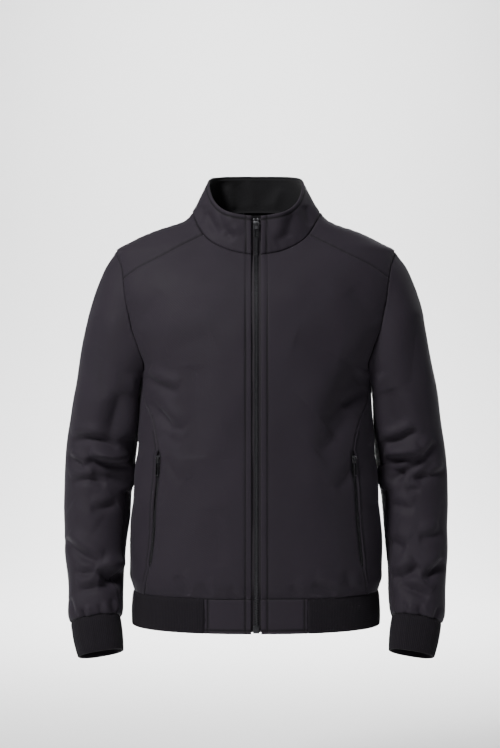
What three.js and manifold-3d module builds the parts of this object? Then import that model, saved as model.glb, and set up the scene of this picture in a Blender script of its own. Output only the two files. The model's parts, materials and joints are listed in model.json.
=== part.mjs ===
// A fleece-lined softshell jacket with a stand collar, in the form that it has when worn with the arms
// hanging. Millimetres. +Z is up, the front faces -Y and +X is the wearer's left. The origin is on the
// centre plane, level with the inner ends of the shoulder seams.
import * as THREE from "three";
import Module from "manifold-3d";
import { mergeVertices } from "three/addons/utils/BufferGeometryUtils.js";

const wasm = await Module();
wasm.setup();

// Cloth
const CLOTH = 2.4; // softshell with its fleece inner face
const DOUBLE_CLOTH = 3.6; // collar and hem tabs, two layers sewn together
const RIB_CLOTH = 2.6; // rib knit, from the valley between two ribs to the inner face
const RIB_RISE = 0.8;
const RIB_PITCH = 5;
const SEAM_GAP = 0.3;

// Body
const RING_POWER = 2.3; // how square the horizontal sections are, 2 is an ellipse
const SHOULDER_TIP_Z = -62;
const HEM_SEAM_Z = -611;
const HEM_Z = -665;
const FRONT_EDGE_X = 7.6; // the fronts and the collar end here, beside the zip
const BACK_NECK_RISE = 6;
const NECK_HALF = 103;
const TAB_END_X = 81;
const SIDE_SEAM_HEM_Y = 50; // where the back's side seam meets the hem

// Zips
const TAPE_HALF = 12;
const TAPE_THICK = 0.9;
const CHAIN_HALF = 2.7;
const CHAIN_DEPTH = 1.05; // the chain's outer face, behind the cloth's outer face
const ZIP_TOP_Z = -16;
const ZIP_BOTTOM_Z = -662;
const POCKET_TOP_Z = -384;
const POCKET_BOTTOM_Z = -562;
const POCKET_OPEN_HALF = 4; // half the gap between the pocket's edges
const POCKET_TAPE_HALF = 9;
const POCKET_CHAIN_HALF = 2.2;
const POCKET_TAPE_DEPTH = 4; // the tape's outer face, behind the cloth's outer face

// Sliders and pulls, metal
const SLIDER = { length: 12, plate: 1.4, lug: 1.7, lugThick: 0.9, pinRadius: 0.7, knuckle: 1.6, sunk: 0.2 };
const ROD_SIDES = 12;
const FRONT_SLIDER_Z = -27;
const FRONT_SLIDER_HALF = 4.2;
const FRONT_PULL = { half: 3.8, length: 22, thick: 1.4, rim: 1.5 };
const FRONT_PULL_LEAN = 4;
const POCKET_SLIDER_Z = -396;
const POCKET_SLIDER_HALF = 2.9;
const POCKET_PULL = { half: 3.1, length: 28, thick: 1.4, rim: 1.3 };
const POCKET_PULL_LEAN = 2;
const RUNNING_GAP = 0.35;
const FLAT_CHAIN_RISE = 0.3; // the chain under the cloth, past the ends of a pocket's zip

// Grid counts along each seam. Panels that share a seam share its stations.
const COUNT = {
  yokeDepth: 3,
  shoulder: 8,
  frontNeck: 4,
  backNeck: 8,
  armholeFront: 7,
  armholeUnder: 5,
  armholeBack: 9,
  side: 12,
  sleeve: 20,
  collar: 5,
};

// Horizontal sections of the body, outer face: half width, and how far it reaches to the front and back.
const TORSO = [
  { z: 8, half: 96, front: 34, back: 62 },
  { z: 0, half: 103, front: 38, back: 64 },
  { z: -13, half: 116, front: 42, back: 68 },
  { z: -30, half: 162, front: 49, back: 76 },
  { z: -47, half: 199, front: 59, back: 84 },
  { z: -62, half: 226, front: 68, back: 90 },
  { z: -84, half: 229, front: 85, back: 98 },
  { z: -112, half: 231, front: 103, back: 106 },
  { z: -146, half: 228, front: 119, back: 112 },
  { z: -186, half: 220, front: 129, back: 116 },
  { z: -222, half: 204, front: 134, back: 116 },
  { z: -252, half: 188, front: 137, back: 114 },
  { z: -284, half: 184, front: 138, back: 111 },
  { z: -325, half: 185, front: 137, back: 108 },
  { z: -374, half: 191, front: 135, back: 105 },
  { z: -454, half: 198, front: 132, back: 105 },
  { z: -528, half: 204, front: 131, back: 110 },
  { z: -587, half: 205.4, front: 130, back: 113 },
  { z: -602, half: 201, front: 127, back: 110 },
  { z: -611, half: 198, front: 124, back: 107 },
  { z: -642, half: 198.6, front: 124, back: 107 },
  { z: -665, half: 200, front: 124.6, back: 107.6 },
];

// The armhole seam seen from the side. It starts at the shoulder tip, goes down the front, round under
// the arm and up the back. The yoke ends at row 2, and the side panel reaches from row 6 to row 8.
const ARMHOLE = [
  { y: 0, z: SHOULDER_TIP_Z },
  { y: -30, z: -82 },
  { y: -49, z: -110.6 },
  { y: -60, z: -146 },
  { y: -66, z: -186 },
  { y: -64, z: -228 },
  { y: -44, z: -262 },
  { y: 4, z: -278 },
  { y: 50, z: -262 },
  { y: 68, z: -222 },
  { y: 68, z: -180 },
  { y: 60, z: -138 },
  { y: 46, z: -102 },
  { y: 24, z: -75 },
];
const ARMHOLE_ROW = { shoulder: 0, yoke: 2, under: 6, back: 8 };

// Seams on the front, seen from the front.
const FRONT_NECKLINE = [
  { x: FRONT_EDGE_X, z: -74 },
  { x: 38, z: -68 },
  { x: 60, z: -59 },
  { x: 75, z: -49 },
  { x: 84, z: -39.5 },
];
const YOKE_NECKLINE = [
  { x: 84, z: -39.5 },
  { x: 95, z: -21 },
  { x: NECK_HALF, z: 0 },
];
const YOKE_SEAM = [
  { x: 84, z: -39.5 },
  { x: 145, z: -72 },
  { x: 184, z: -91 },
  { x: 211.3, z: -110.6 },
];
const POCKET_SEAM = [
  { x: 176, z: -300 },
  { x: 163, z: -336 },
  { x: 153, z: -389 },
  { x: 158, z: -459 },
  { x: 166, z: -550 },
  { x: 172, z: -585 },
  { x: 176, z: HEM_SEAM_Z },
];

// Heights of the stations along the pocket seam. The zip's opening begins and ends between two close ones.
const POCKET_STATIONS = [
  ARMHOLE[6].z,
  -300,
  -340,
  POCKET_TOP_Z + 5,
  POCKET_TOP_Z,
  -420,
  -456,
  -492,
  -528,
  POCKET_BOTTOM_Z,
  POCKET_BOTTOM_Z - 5,
  -588,
  HEM_SEAM_Z,
];

// The collar's top edge, from the zip round to the centre back.
const COLLAR_TOP = [
  { x: FRONT_EDGE_X, y: -74, z: -12 },
  { x: 38, y: -71, z: -7 },
  { x: 57, y: -56, z: 3 },
  { x: 70, y: -38, z: 20 },
  { x: 77, y: -10, z: 44 },
  { x: 74, y: 20, z: 58 },
  { x: 58, y: 44, z: 63.5 },
  { x: 30, y: 58, z: 65.6 },
  { x: 0, y: 61.5, z: 66 },
];

// Sleeve sections: the outer and the inner point seen from the front, the middle's y, half the depth
// from front to back, and how many degrees the section's front edge is raised.
const SLEEVE = [
  { at: 0, outX: 226, outZ: -62, inX: 187, inZ: -278, y: 2, half: 67, raise: 0 },
  { at: 0.08, outX: 247, outZ: -93, inX: 190.5, inZ: -283, y: 3, half: 70, raise: 0 },
  { at: 0.2, outX: 267, outZ: -147, inX: 191.5, inZ: -291, y: 5, half: 73, raise: -2 },
  { at: 0.34, outX: 284, outZ: -228, inX: 190.5, inZ: -312, y: 9, half: 75, raise: -4 },
  { at: 0.46, outX: 299, outZ: -315, inX: 191.5, inZ: -352, y: 13, half: 71, raise: -5 },
  { at: 0.57, outX: 309, outZ: -396, inX: 197.5, inZ: -410, y: 17, half: 65, raise: 0 },
  { at: 0.67, outX: 312, outZ: -463, inX: 204, inZ: -462, y: 12, half: 60, raise: 8 },
  { at: 0.78, outX: 310, outZ: -535, inX: 209.5, inZ: -528, y: -5, half: 55, raise: 14 },
  { at: 0.9, outX: 303.5, outZ: -606, inX: 211.5, inZ: -596, y: -27, half: 50, raise: 17 },
  { at: 0.97, outX: 300, outZ: -648, inX: 213, inZ: -636, y: -43, half: 46, raise: 17 },
  { at: 1, outX: 295.5, outZ: -659, inX: 216, inZ: -646, y: -49, half: 40, raise: 17 },
];
// The seam blends into the sleeve's own sections over this share of its length.
const ARMHOLE_BLEND = 0.34;

const CUFF_END = { outX: 281, outZ: -711, inX: 210.5, inZ: -699, y: -66, half: 35, raise: 17 };
const CUFF_TUCK = 1.2; // how far the cuff's top lies inside the sleeve's end

// Largest folds, as soft troughs (negative) and ridges along a line seen from the front or the back.
const TORSO_FOLDS = [
  { back: false, x1: -178, z1: -272, x2: -126, z2: -288, width: 9, depth: -3 },
  { back: false, x1: -172, z1: -305, x2: -138, z2: -350, width: 9, depth: -2.5 },
  { back: false, x1: 172, z1: -270, x2: 112, z2: -345, width: 22, depth: -4 },
  { back: false, x1: 150, z1: -330, x2: 95, z2: -385, width: 18, depth: -2.5 },
  { back: false, x1: -96, z1: -270, x2: -92, z2: -380, width: 22, depth: 2 },
  { back: true, x1: -165, z1: -240, x2: -60, z2: -300, width: 16, depth: -3.5 },
  { back: true, x1: 168, z1: -236, x2: 72, z2: -310, width: 17, depth: -3.5 },
  { back: true, x1: -150, z1: -395, x2: 20, z2: -410, width: 15, depth: -3 },
  { back: true, x1: 150, z1: -450, x2: -30, z2: -440, width: 16, depth: -2.6 },
];
// Sleeve folds run across the sleeve. A turn of 0 is its outer side, 90 its front, 180 its inner side.
const SLEEVE_FOLDS = [
  { side: -1, turn1: 50, z1: -392, turn2: 150, z2: -400, width: 9, depth: -4 },
  { side: -1, turn1: 20, z1: -432, turn2: 120, z2: -444, width: 9, depth: -3.5 },
  { side: -1, turn1: 70, z1: -484, turn2: 150, z2: -478, width: 10, depth: -3 },
  { side: -1, turn1: 10, z1: -545, turn2: 100, z2: -566, width: 10, depth: -3.5 },
  { side: -1, turn1: 90, z1: -586, turn2: 170, z2: -592, width: 9, depth: -4 },
  { side: -1, turn1: 230, z1: -400, turn2: 330, z2: -420, width: 11, depth: -4 },
  { side: -1, turn1: 220, z1: -560, turn2: 320, z2: -575, width: 11, depth: -3 },
  { side: 1, turn1: 60, z1: -392, turn2: 150, z2: -404, width: 9, depth: -4 },
  { side: 1, turn1: 10, z1: -370, turn2: 100, z2: -425, width: 9, depth: -3 },
  { side: 1, turn1: 20, z1: -424, turn2: 110, z2: -440, width: 9, depth: -3 },
  { side: 1, turn1: 15, z1: -520, turn2: 90, z2: -530, width: 10, depth: -3 },
  { side: 1, turn1: 60, z1: -588, turn2: 150, z2: -575, width: 9, depth: -3.5 },
  { side: 1, turn1: 225, z1: -410, turn2: 325, z2: -398, width: 11, depth: -4 },
  { side: 1, turn1: 230, z1: -580, turn2: 330, z2: -566, width: 11, depth: -3 },
];
// Where the body's folds fade out: from the side, from the zip and from the hem seam
const FOLD_FADE = { side: [20, 60], middle: [25, 60], hem: [8, 40] };
const FOLD_END = 1.5; // a fold's ends fade over this many times its width
const SLEEVE_RADIUS = 55; // turns a sleeve fold's angle into a distance round the sleeve

// Vectors and tables
const vec = (x, y, z) => new THREE.Vector3(x, y, z);
const mixed = (a, b, t) => a + (b - a) * t;
const span = (count) => Array.from({ length: count + 1 }, (_, i) => i / count);

// A value of a table's column at `at`, along a smooth curve that doesn't overshoot the rows.
function column(rows, key, name, at) {
  const sign = rows[1][key] > rows[0][key] ? 1 : -1;
  const last = rows.length - 2;
  let i = 0;
  while (i < last && sign * at > sign * rows[i + 1][key]) i += 1;
  const slope = (k) => {
    if (k < 0 || k > last) return 0;
    return (rows[k + 1][name] - rows[k][name]) / (rows[k + 1][key] - rows[k][key]);
  };
  const knee = (k) => {
    const [before, after] = [slope(k - 1), slope(k)];
    if (k === 0 || k > last) return k === 0 ? after : before;
    return before * after <= 0 ? 0 : (2 * before * after) / (before + after);
  };
  const width = rows[i + 1][key] - rows[i][key];
  const t = THREE.MathUtils.clamp((at - rows[i][key]) / width, 0, 1);
  const [a, b] = [rows[i][name], rows[i + 1][name]];
  return (
    a * (2 * t ** 3 - 3 * t ** 2 + 1) +
    b * (3 * t ** 2 - 2 * t ** 3) +
    width * (knee(i) * (t ** 3 - 2 * t ** 2 + t) + knee(i + 1) * (t ** 3 - t ** 2))
  );
}

// A point of a table of {x, y, z} rows, `t` counted in rows, on a Catmull-Rom curve.
function alongRows(rows, t, closed = false) {
  const count = rows.length;
  const row = (i) => {
    const k = closed ? (i + count) % count : THREE.MathUtils.clamp(i, 0, count - 1);
    return vec(rows[k].x ?? 0, rows[k].y ?? 0, rows[k].z);
  };
  const i = Math.min(Math.floor(t), closed ? count - 1 : count - 2);
  const [a, b, c, d] = [row(i - 1), row(i), row(i + 1), row(i + 2)];
  const s = t - i;
  const weigh = (p, q, r, w) =>
    0.5 * (2 * q + (r - p) * s + (2 * p - 5 * q + 4 * r - w) * s * s + (3 * q - p - 3 * r + w) * s ** 3);
  return vec(weigh(a.x, b.x, c.x, d.x), weigh(a.y, b.y, c.y, d.y), weigh(a.z, b.z, c.z, d.z));
}

// The point at the share `t` of an open table's rows.
const share = (rows, t) => alongRows(rows, t * (rows.length - 1));

// Body surface
const torsoAt = (z) => ({
  half: column(TORSO, "z", "half", z),
  front: column(TORSO, "z", "front", z),
  back: column(TORSO, "z", "back", z),
});

// How far a point of the section at z reaches to the front or back, for a place x on it.
function torsoY(x, z, back) {
  const section = torsoAt(z);
  const part = Math.min(Math.abs(x) / section.half, 1);
  const reach = (1 - part ** RING_POWER) ** (1 / RING_POWER);
  return back ? section.back * reach : -section.front * reach;
}

// Where the section at z is as far to the front (negative) or back as y.
function torsoX(y, z) {
  const section = torsoAt(z);
  const part = Math.min(Math.abs(y) / (y > 0 ? section.back : section.front), 1);
  return section.half * (1 - part ** RING_POWER) ** (1 / RING_POWER);
}

// The outward direction at a point of the body's surface.
function torsoNormal(p) {
  const level = (x, y, z) => {
    const s = torsoAt(z);
    const depth = y > 0 ? s.back : s.front;
    return (Math.abs(x) / s.half) ** RING_POWER + (Math.abs(y) / depth) ** RING_POWER;
  };
  const step = 0.5;
  const slope = (dx, dy, dz) =>
    level(p.x + dx, p.y + dy, p.z + dz) - level(p.x - dx, p.y - dy, p.z - dz);
  return vec(slope(step, 0, 0), slope(0, step, 0), slope(0, 0, step)).normalize();
}

// How deep a fold is at a point whose place on the cloth is (u, v).
function foldAt(fold, u, v) {
  const [du, dv] = [fold.u2 - fold.u1, fold.v2 - fold.v1];
  const length = Math.hypot(du, dv);
  const along = ((u - fold.u1) * du + (v - fold.v1) * dv) / length ** 2;
  const across = ((u - fold.u1) * dv - (v - fold.v1) * du) / length;
  const past = Math.max(-along, along - 1, 0) * length;
  return fold.depth * Math.exp(-((across / fold.width) ** 2) - (past / (FOLD_END * fold.width)) ** 2);
}

function torsoFold(p) {
  const back = p.y > 0;
  let depth = 0;
  for (const fold of TORSO_FOLDS) {
    if (fold.back !== back) continue;
    const line = { ...fold, u1: fold.x1, v1: fold.z1, u2: fold.x2, v2: fold.z2 };
    depth += foldAt(line, p.x, p.z);
  }
  // The folds fade out towards the side, the zip and the seams of the neck and the hem.
  const side = THREE.MathUtils.smoothstep(Math.abs(p.y), ...FOLD_FADE.side);
  const middle = back ? 1 : THREE.MathUtils.smoothstep(Math.abs(p.x), ...FOLD_FADE.middle);
  return depth * side * middle * THREE.MathUtils.smoothstep(p.z - HEM_SEAM_Z, ...FOLD_FADE.hem);
}

// A station is a point of the outer face with the way through the cloth to its inner face.
function torsoStation(side, x, z, back, thick = CLOTH) {
  const p = vec(side * x, torsoY(x, z, back), z);
  const normal = torsoNormal(p);
  return { p: p.clone().addScaledVector(normal, torsoFold(p)), inward: normal.multiplyScalar(-thick) };
}

const HALVINGS = 40;
// The ridge of the shoulder: the height at which a section is as wide as x.
function ridgeZ(x) {
  let [low, high] = [SHOULDER_TIP_Z, 0];
  for (let i = 0; i < HALVINGS; i += 1) {
    const middle = (low + high) / 2;
    if (torsoAt(middle).half > x) low = middle;
    else high = middle;
  }
  return (low + high) / 2;
}

// Seams as lists of places {x, z, back}
const place = (p, back = false) => ({ x: p.x, z: p.z, back });
function armholePlaces(from, to, count) {
  return span(count).map((t) => {
    const p = alongRows(ARMHOLE, mixed(from, to, t), true);
    return { x: torsoX(p.y, p.z), z: p.z, back: p.y > 0, y: p.y };
  });
}
const armholeYoke = armholePlaces(ARMHOLE_ROW.shoulder, ARMHOLE_ROW.yoke, COUNT.yokeDepth);
const armholeFront = armholePlaces(ARMHOLE_ROW.yoke, ARMHOLE_ROW.under, COUNT.armholeFront);
const armholeUnder = armholePlaces(ARMHOLE_ROW.under, ARMHOLE_ROW.back, COUNT.armholeUnder);
const armholeBack = armholePlaces(ARMHOLE_ROW.back, ARMHOLE.length, COUNT.armholeBack);
const armholeAll = [
  ...armholeYoke.slice(0, -1),
  ...armholeFront.slice(0, -1),
  ...armholeUnder.slice(0, -1),
  ...armholeBack.slice(0, -1),
];

const shoulderPlaces = span(COUNT.shoulder).map((t) => {
  const x = mixed(NECK_HALF, torsoAt(SHOULDER_TIP_Z).half, t);
  return { x, z: t === 1 ? SHOULDER_TIP_Z : ridgeZ(x), back: false };
});
const frontNeckPlaces = span(COUNT.frontNeck).map((t) => place(share(FRONT_NECKLINE, t)));
const yokeNeckPlaces = span(COUNT.yokeDepth).map((t) => place(share(YOKE_NECKLINE, t)));
const yokeSeamPlaces = span(COUNT.shoulder).map((t) => place(share(YOKE_SEAM, t)));
const backNeckPlaces = span(COUNT.backNeck).map((t) => {
  const x = NECK_HALF * Math.cos(Math.PI * t);
  return { x, z: BACK_NECK_RISE * (1 - (x / NECK_HALF) ** 2), back: true };
});
const pocketRows = [armholeFront.at(-1), ...POCKET_SEAM];
const pocketPlaces = POCKET_STATIONS.map((z) => ({ x: column(pocketRows, "z", "x", z), z, back: false }));
// The back's side seam hangs from the armhole to the hem, behind the arm.
const sideSeamPlaces = span(COUNT.side).map((t) => {
  const z = mixed(armholeBack[0].z, HEM_SEAM_Z, t);
  const y = mixed(armholeBack[0].y, SIDE_SEAM_HEM_Y, t);
  return { x: torsoX(y, z), z, back: true };
});

// Grids of stations, as rows of stations, from four edges given as lists of places
function coons(top, bottom, left, right) {
  const lengths = (edge) => {
    const sums = [0];
    for (let i = 1; i < edge.length; i += 1) {
      sums.push(sums[i - 1] + Math.hypot(edge[i].x - edge[i - 1].x, edge[i].z - edge[i - 1].z));
    }
    return sums.map((s) => s / sums.at(-1));
  };
  const [topU, bottomU, leftV, rightV] = [top, bottom, left, right].map(lengths);
  const blend = (name, i, j) => {
    const u = (topU[i] + bottomU[i]) / 2;
    const v = (leftV[j] + rightV[j]) / 2;
    const corners =
      (1 - u) * (1 - v) * top[0][name] +
      u * (1 - v) * top.at(-1)[name] +
      (1 - u) * v * bottom[0][name] +
      u * v * bottom.at(-1)[name];
    const across = (1 - u) * left[j][name] + u * right[j][name];
    return (1 - v) * top[i][name] + v * bottom[i][name] + across - corners;
  };
  return left.map((_, j) => top.map((_, i) => ({ x: blend("x", i, j), z: blend("z", i, j) })));
}

const evenPlaces = (a, b, count) => span(count).map((t) => ({ x: mixed(a.x, b.x, t), z: mixed(a.z, b.z, t) }));
const mirrored = (v, side) => vec(v.x * side, v.y, v.z);

const MITRE_LIMIT = 0.6; // keeps a sharp corner's way through the cloth under 1 / 0.6 of its thickness
// The way through the cloth at a seam where two surfaces meet: it bisects their corner.
function mitre(normalA, normalB, thick) {
  const sum = normalA.clone().add(normalB);
  return sum.multiplyScalar(-thick / Math.max(1 + normalA.dot(normalB), MITRE_LIMIT));
}

// Moves the edges of a grid of stations apart from the neighbouring pieces. `halfGap(edge, index)` is
// how far the edge moves: edges are top, bottom, left and right.
function partEdges(grid, halfGap = () => SEAM_GAP / 2) {
  const [rows, cols] = [grid.length - 1, grid[0].length - 1];
  const moves = grid.map((row) => row.map(() => vec(0, 0, 0)));
  const addMove = (j, i, edge, index, before, after, inner) => {
    const tangent = after.p.clone().sub(before.p);
    const away = tangent.cross(grid[j][i].inward).normalize();
    if (away.dot(inner.p.clone().sub(grid[j][i].p)) < 0) away.negate();
    moves[j][i].addScaledVector(away, halfGap(edge, index));
  };
  for (let i = 0; i <= cols; i += 1) {
    const [a, b] = [Math.max(i - 1, 0), Math.min(i + 1, cols)];
    addMove(0, i, "top", i, grid[0][a], grid[0][b], grid[1][i]);
    addMove(rows, i, "bottom", i, grid[rows][a], grid[rows][b], grid[rows - 1][i]);
  }
  for (let j = 0; j <= rows; j += 1) {
    const [a, b] = [Math.max(j - 1, 0), Math.min(j + 1, rows)];
    addMove(j, 0, "left", j, grid[a][0], grid[b][0], grid[j][1]);
    addMove(j, cols, "right", j, grid[a][cols], grid[b][cols], grid[j][cols - 1]);
  }
  return grid.map((row, j) => row.map((s, i) => ({ p: s.p.clone().add(moves[j][i]), inward: s.inward })));
}

// Geometry from triangles of points, turned so that it faces out
function geometryOf(points, triangles) {
  let volume = 0;
  for (const [a, b, c] of triangles) volume += points[a].dot(points[b].clone().cross(points[c]));
  const index = volume < 0 ? triangles.map(([a, b, c]) => [a, c, b]) : triangles;
  const geometry = new THREE.BufferGeometry();
  geometry.setAttribute("position", new THREE.Float32BufferAttribute(points.flatMap((p) => p.toArray()), 3));
  geometry.setIndex(index.flat());
  return geometry;
}

// A closed wall from a grid of stations: its outer face, its inner face and the edges between them
function wallOf(grid) {
  const cols = grid[0].length;
  const outer = grid.flat().map((s) => s.p);
  const inner = grid.flat().map((s) => s.p.clone().add(s.inward));
  const count = outer.length;
  const triangles = [];
  const quad = (a, b, c, d) => triangles.push([a, b, c], [a, c, d]);
  for (let j = 0; j < grid.length - 1; j += 1) {
    for (let i = 0; i < cols - 1; i += 1) {
      const [a, b, c, d] = [j * cols + i, j * cols + i + 1, (j + 1) * cols + i + 1, (j + 1) * cols + i];
      quad(a, b, c, d);
      quad(count + d, count + c, count + b, count + a);
    }
  }
  const rim = [];
  for (let i = 0; i < cols - 1; i += 1) rim.push(i);
  for (let j = 0; j < grid.length - 1; j += 1) rim.push(j * cols + cols - 1);
  for (let i = cols - 1; i > 0; i -= 1) rim.push((grid.length - 1) * cols + i);
  for (let j = grid.length - 1; j > 0; j -= 1) rim.push(j * cols);
  // An edge's quads are split from the higher outer point, so that two pieces split their seam alike.
  rim.forEach((a, k) => {
    const b = rim[(k + 1) % rim.length];
    const height = (n) => outer[n].z + 0.01 * Math.abs(outer[n].x);
    if (height(a) < height(b)) quad(b, a, count + a, count + b);
    else quad(a, count + a, count + b, b);
  });
  return geometryOf([...outer, ...inner], triangles);
}

// Normals of a grid of points, from its neighbours, pointing away from `middleOf(j)`
function gridNormals(points, around, middleOf) {
  const last = points[0].length - 1;
  return points.map((row, j) =>
    row.map((p, i) => {
      const up = points[Math.max(j - 1, 0)][i];
      const down = points[Math.min(j + 1, points.length - 1)][i];
      const before = around ? row[(i + last) % (last + 1)] : row[Math.max(i - 1, 0)];
      const after = around ? row[(i + 1) % (last + 1)] : row[Math.min(i + 1, last)];
      const normal = down.clone().sub(up).cross(after.clone().sub(before)).normalize();
      return normal.dot(p.clone().sub(middleOf(j))) < 0 ? normal.negate() : normal;
    }),
  );
}

// Sleeve sections
function sectionOf(row) {
  const out = vec(row.outX, 0, row.outZ);
  const inside = vec(row.inX, 0, row.inZ);
  const raise = THREE.MathUtils.degToRad(row.raise);
  const across = out.clone().sub(inside).normalize();
  const front = vec(0, -Math.cos(raise), Math.sin(raise));
  return {
    centre: out.clone().add(inside).multiplyScalar(0.5).setY(row.y),
    across,
    front,
    down: across.clone().cross(front).normalize(),
    halfAcross: out.distanceTo(inside) / 2,
    halfFront: row.half,
  };
}

// A section's outer point and the way in, both in its plane, at an angle from its outer side
function sectionStation(section, angle, grow = 0, thick = CLOTH) {
  const [a, b] = [section.halfAcross, section.halfFront];
  const [c, s] = [Math.cos(angle), Math.sin(angle)];
  const radius = (Math.abs(c / a) ** RING_POWER + Math.abs(s / b) ** RING_POWER) ** (-1 / RING_POWER);
  const flat = (x, y) => section.across.clone().multiplyScalar(x).addScaledVector(section.front, y);
  const normal = flat(
    (Math.sign(c) * Math.abs((radius * c) / a) ** (RING_POWER - 1)) / a,
    (Math.sign(s) * Math.abs((radius * s) / b) ** (RING_POWER - 1)) / b,
  ).normalize();
  const p = section.centre.clone().add(flat(radius * c, radius * s)).addScaledVector(normal, grow);
  return { p, inward: normal.multiplyScalar(-thick) };
}

const armholeLoop = armholeAll.map((q) => vec(q.x, q.y, q.z));
const armholeAngles = (() => {
  const lengths = armholeLoop.map((p, i) => p.distanceTo(armholeLoop[(i + 1) % armholeLoop.length]));
  const bottom = COUNT.yokeDepth + COUNT.armholeFront + COUNT.armholeUnder / 2;
  const sumTo = (end) => lengths.slice(0, end).reduce((a, b) => a + b, 0);
  const half = (sumTo(Math.floor(bottom)) + sumTo(Math.ceil(bottom))) / 2;
  const whole = sumTo(lengths.length);
  return armholeLoop.map((_, i) => {
    const s = sumTo(i);
    return s < half ? (Math.PI * s) / half : Math.PI + (Math.PI * (s - half)) / (whole - half);
  });
})();

const SLEEVE_SIZES = ["outX", "outZ", "inX", "inZ", "y", "half", "raise"];
const sleeveRow = (at) =>
  Object.fromEntries(SLEEVE_SIZES.map((name) => [name, column(SLEEVE, "at", name, at)]));

const RING_CROWDING = 0.045;
// Rings lie closer together where the sleeve is sewn on and where it is gathered over the cuff.
const sleeveShares = span(COUNT.sleeve).map((t) => t - RING_CROWDING * Math.sin(2 * Math.PI * t));

function sleevePoints(side) {
  const first = sectionOf(SLEEVE[0]);
  const drift = armholeLoop.map((p, k) => p.clone().sub(sectionStation(first, armholeAngles[k]).p));
  return sleeveShares.map((at, j) => {
    const section = sectionOf(sleeveRow(at));
    const keep = 1 - THREE.MathUtils.smoothstep(at, 0, ARMHOLE_BLEND);
    return armholeAngles.map((angle, k) => {
      const { p, inward } = sectionStation(section, angle);
      p.addScaledVector(drift[k], keep);
      if (j === 0 || j === COUNT.sleeve) return p;
      const turn = THREE.MathUtils.radToDeg(angle);
      const perTurn = THREE.MathUtils.degToRad(SLEEVE_RADIUS);
      let depth = 0;
      for (const fold of SLEEVE_FOLDS) {
        if (fold.side !== side) continue;
        const line = { ...fold, u1: fold.turn1 * perTurn, v1: fold.z1, u2: fold.turn2 * perTurn, v2: fold.z2 };
        depth += foldAt(line, turn * perTurn, p.z);
      }
      return p.addScaledVector(inward, -depth / CLOTH);
    });
  });
}

// The ways through the cloth at the armhole seam, shared by the body's panels and the sleeve
function sleeveNormals(points) {
  const middles = points.map((row) =>
    row.reduce((sum, p) => sum.add(p), vec(0, 0, 0)).multiplyScalar(1 / row.length),
  );
  return gridNormals(points, true, (j) => middles[j]);
}
const plainSleeve = sleevePoints(0);
const plainNormals = sleeveNormals(plainSleeve);
const armholeInward = armholeLoop.map((p, k) => mitre(torsoNormal(p), plainNormals[0][k], CLOTH));

function sleeveStations(side) {
  const points = sleevePoints(side);
  const normals = sleeveNormals(points);
  const end = sectionOf(SLEEVE.at(-1));
  return points.map((row, j) =>
    row.map((p, k) => {
      let inward = normals[j][k].clone().multiplyScalar(-CLOTH);
      if (j === 0) inward = armholeInward[k].clone();
      if (j === COUNT.sleeve) inward = sectionStation(end, armholeAngles[k]).inward;
      return { p: mirrored(p, side), inward: mirrored(inward, side) };
    }),
  );
}

const underStart = COUNT.yokeDepth + COUNT.armholeFront;
const underEnd = underStart + COUNT.armholeUnder;
const around = armholeAll.length;

function sleeveWall(side, from, to) {
  const stations = sleeveStations(side);
  const picked = stations.map((row) =>
    Array.from({ length: to - from + 1 }, (_, i) => row[(from + i) % around]),
  );
  return wallOf(partEdges(picked));
}

// Rib knit: a wall whose outer face has a raised rib at every second point, over a plain inner face.
// Each station gives {top, bottom} outer points and {topIn, bottomIn}; even ones also have inner points.
function ribWall(stations, closed) {
  const points = [];
  const add = (p) => points.push(p) - 1;
  const outerIndex = stations.map((s) => [add(s.top), add(s.bottom)]);
  const innerIndex = stations.map((s, k) => (k % 2 === 0 ? [add(s.topIn), add(s.bottomIn)] : null));
  const triangles = [];
  const quad = (a, b, c, d) => triangles.push([a, b, c], [a, c, d]);
  const ribs = Math.floor(stations.length / 2);
  for (let r = 0; r < ribs; r += 1) {
    const [a, b, c] = [2 * r, 2 * r + 1, closed ? (2 * r + 2) % stations.length : 2 * r + 2];
    quad(outerIndex[a][0], outerIndex[b][0], outerIndex[b][1], outerIndex[a][1]);
    quad(outerIndex[b][0], outerIndex[c][0], outerIndex[c][1], outerIndex[b][1]);
    quad(innerIndex[c][0], innerIndex[a][0], innerIndex[a][1], innerIndex[c][1]);
    quad(outerIndex[a][0], innerIndex[a][0], innerIndex[c][0], outerIndex[b][0]);
    triangles.push([outerIndex[b][0], innerIndex[c][0], outerIndex[c][0]]);
    quad(outerIndex[b][1], innerIndex[c][1], innerIndex[a][1], outerIndex[a][1]);
    triangles.push([outerIndex[c][1], innerIndex[c][1], outerIndex[b][1]]);
  }
  if (!closed) {
    const last = stations.length - 1;
    quad(outerIndex[0][0], outerIndex[0][1], innerIndex[0][1], innerIndex[0][0]);
    quad(innerIndex[last][0], innerIndex[last][1], outerIndex[last][1], outerIndex[last][0]);
  }
  return geometryOf(points, triangles);
}

function cuffWall(side) {
  const top = sectionOf(SLEEVE.at(-1));
  top.centre.addScaledVector(top.down, top.down.z < 0 ? SEAM_GAP : -SEAM_GAP);
  const bottom = sectionOf(CUFF_END);
  const ribs = Math.round((2 * Math.PI * bottom.halfFront) / RIB_PITCH);
  const stations = Array.from({ length: 2 * ribs }, (_, k) => {
    const angle = (Math.PI * k) / ribs;
    const rise = k % 2 === 0 ? 0 : RIB_RISE;
    const upper = sectionStation(top, angle, rise - CUFF_TUCK, RIB_CLOTH);
    const lower = sectionStation(bottom, angle, rise, RIB_CLOTH);
    return {
      top: mirrored(upper.p, side),
      bottom: mirrored(lower.p, side),
      topIn: mirrored(upper.p.clone().add(upper.inward), side),
      bottomIn: mirrored(lower.p.clone().add(lower.inward), side),
    };
  });
  return ribWall(stations, true);
}

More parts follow.
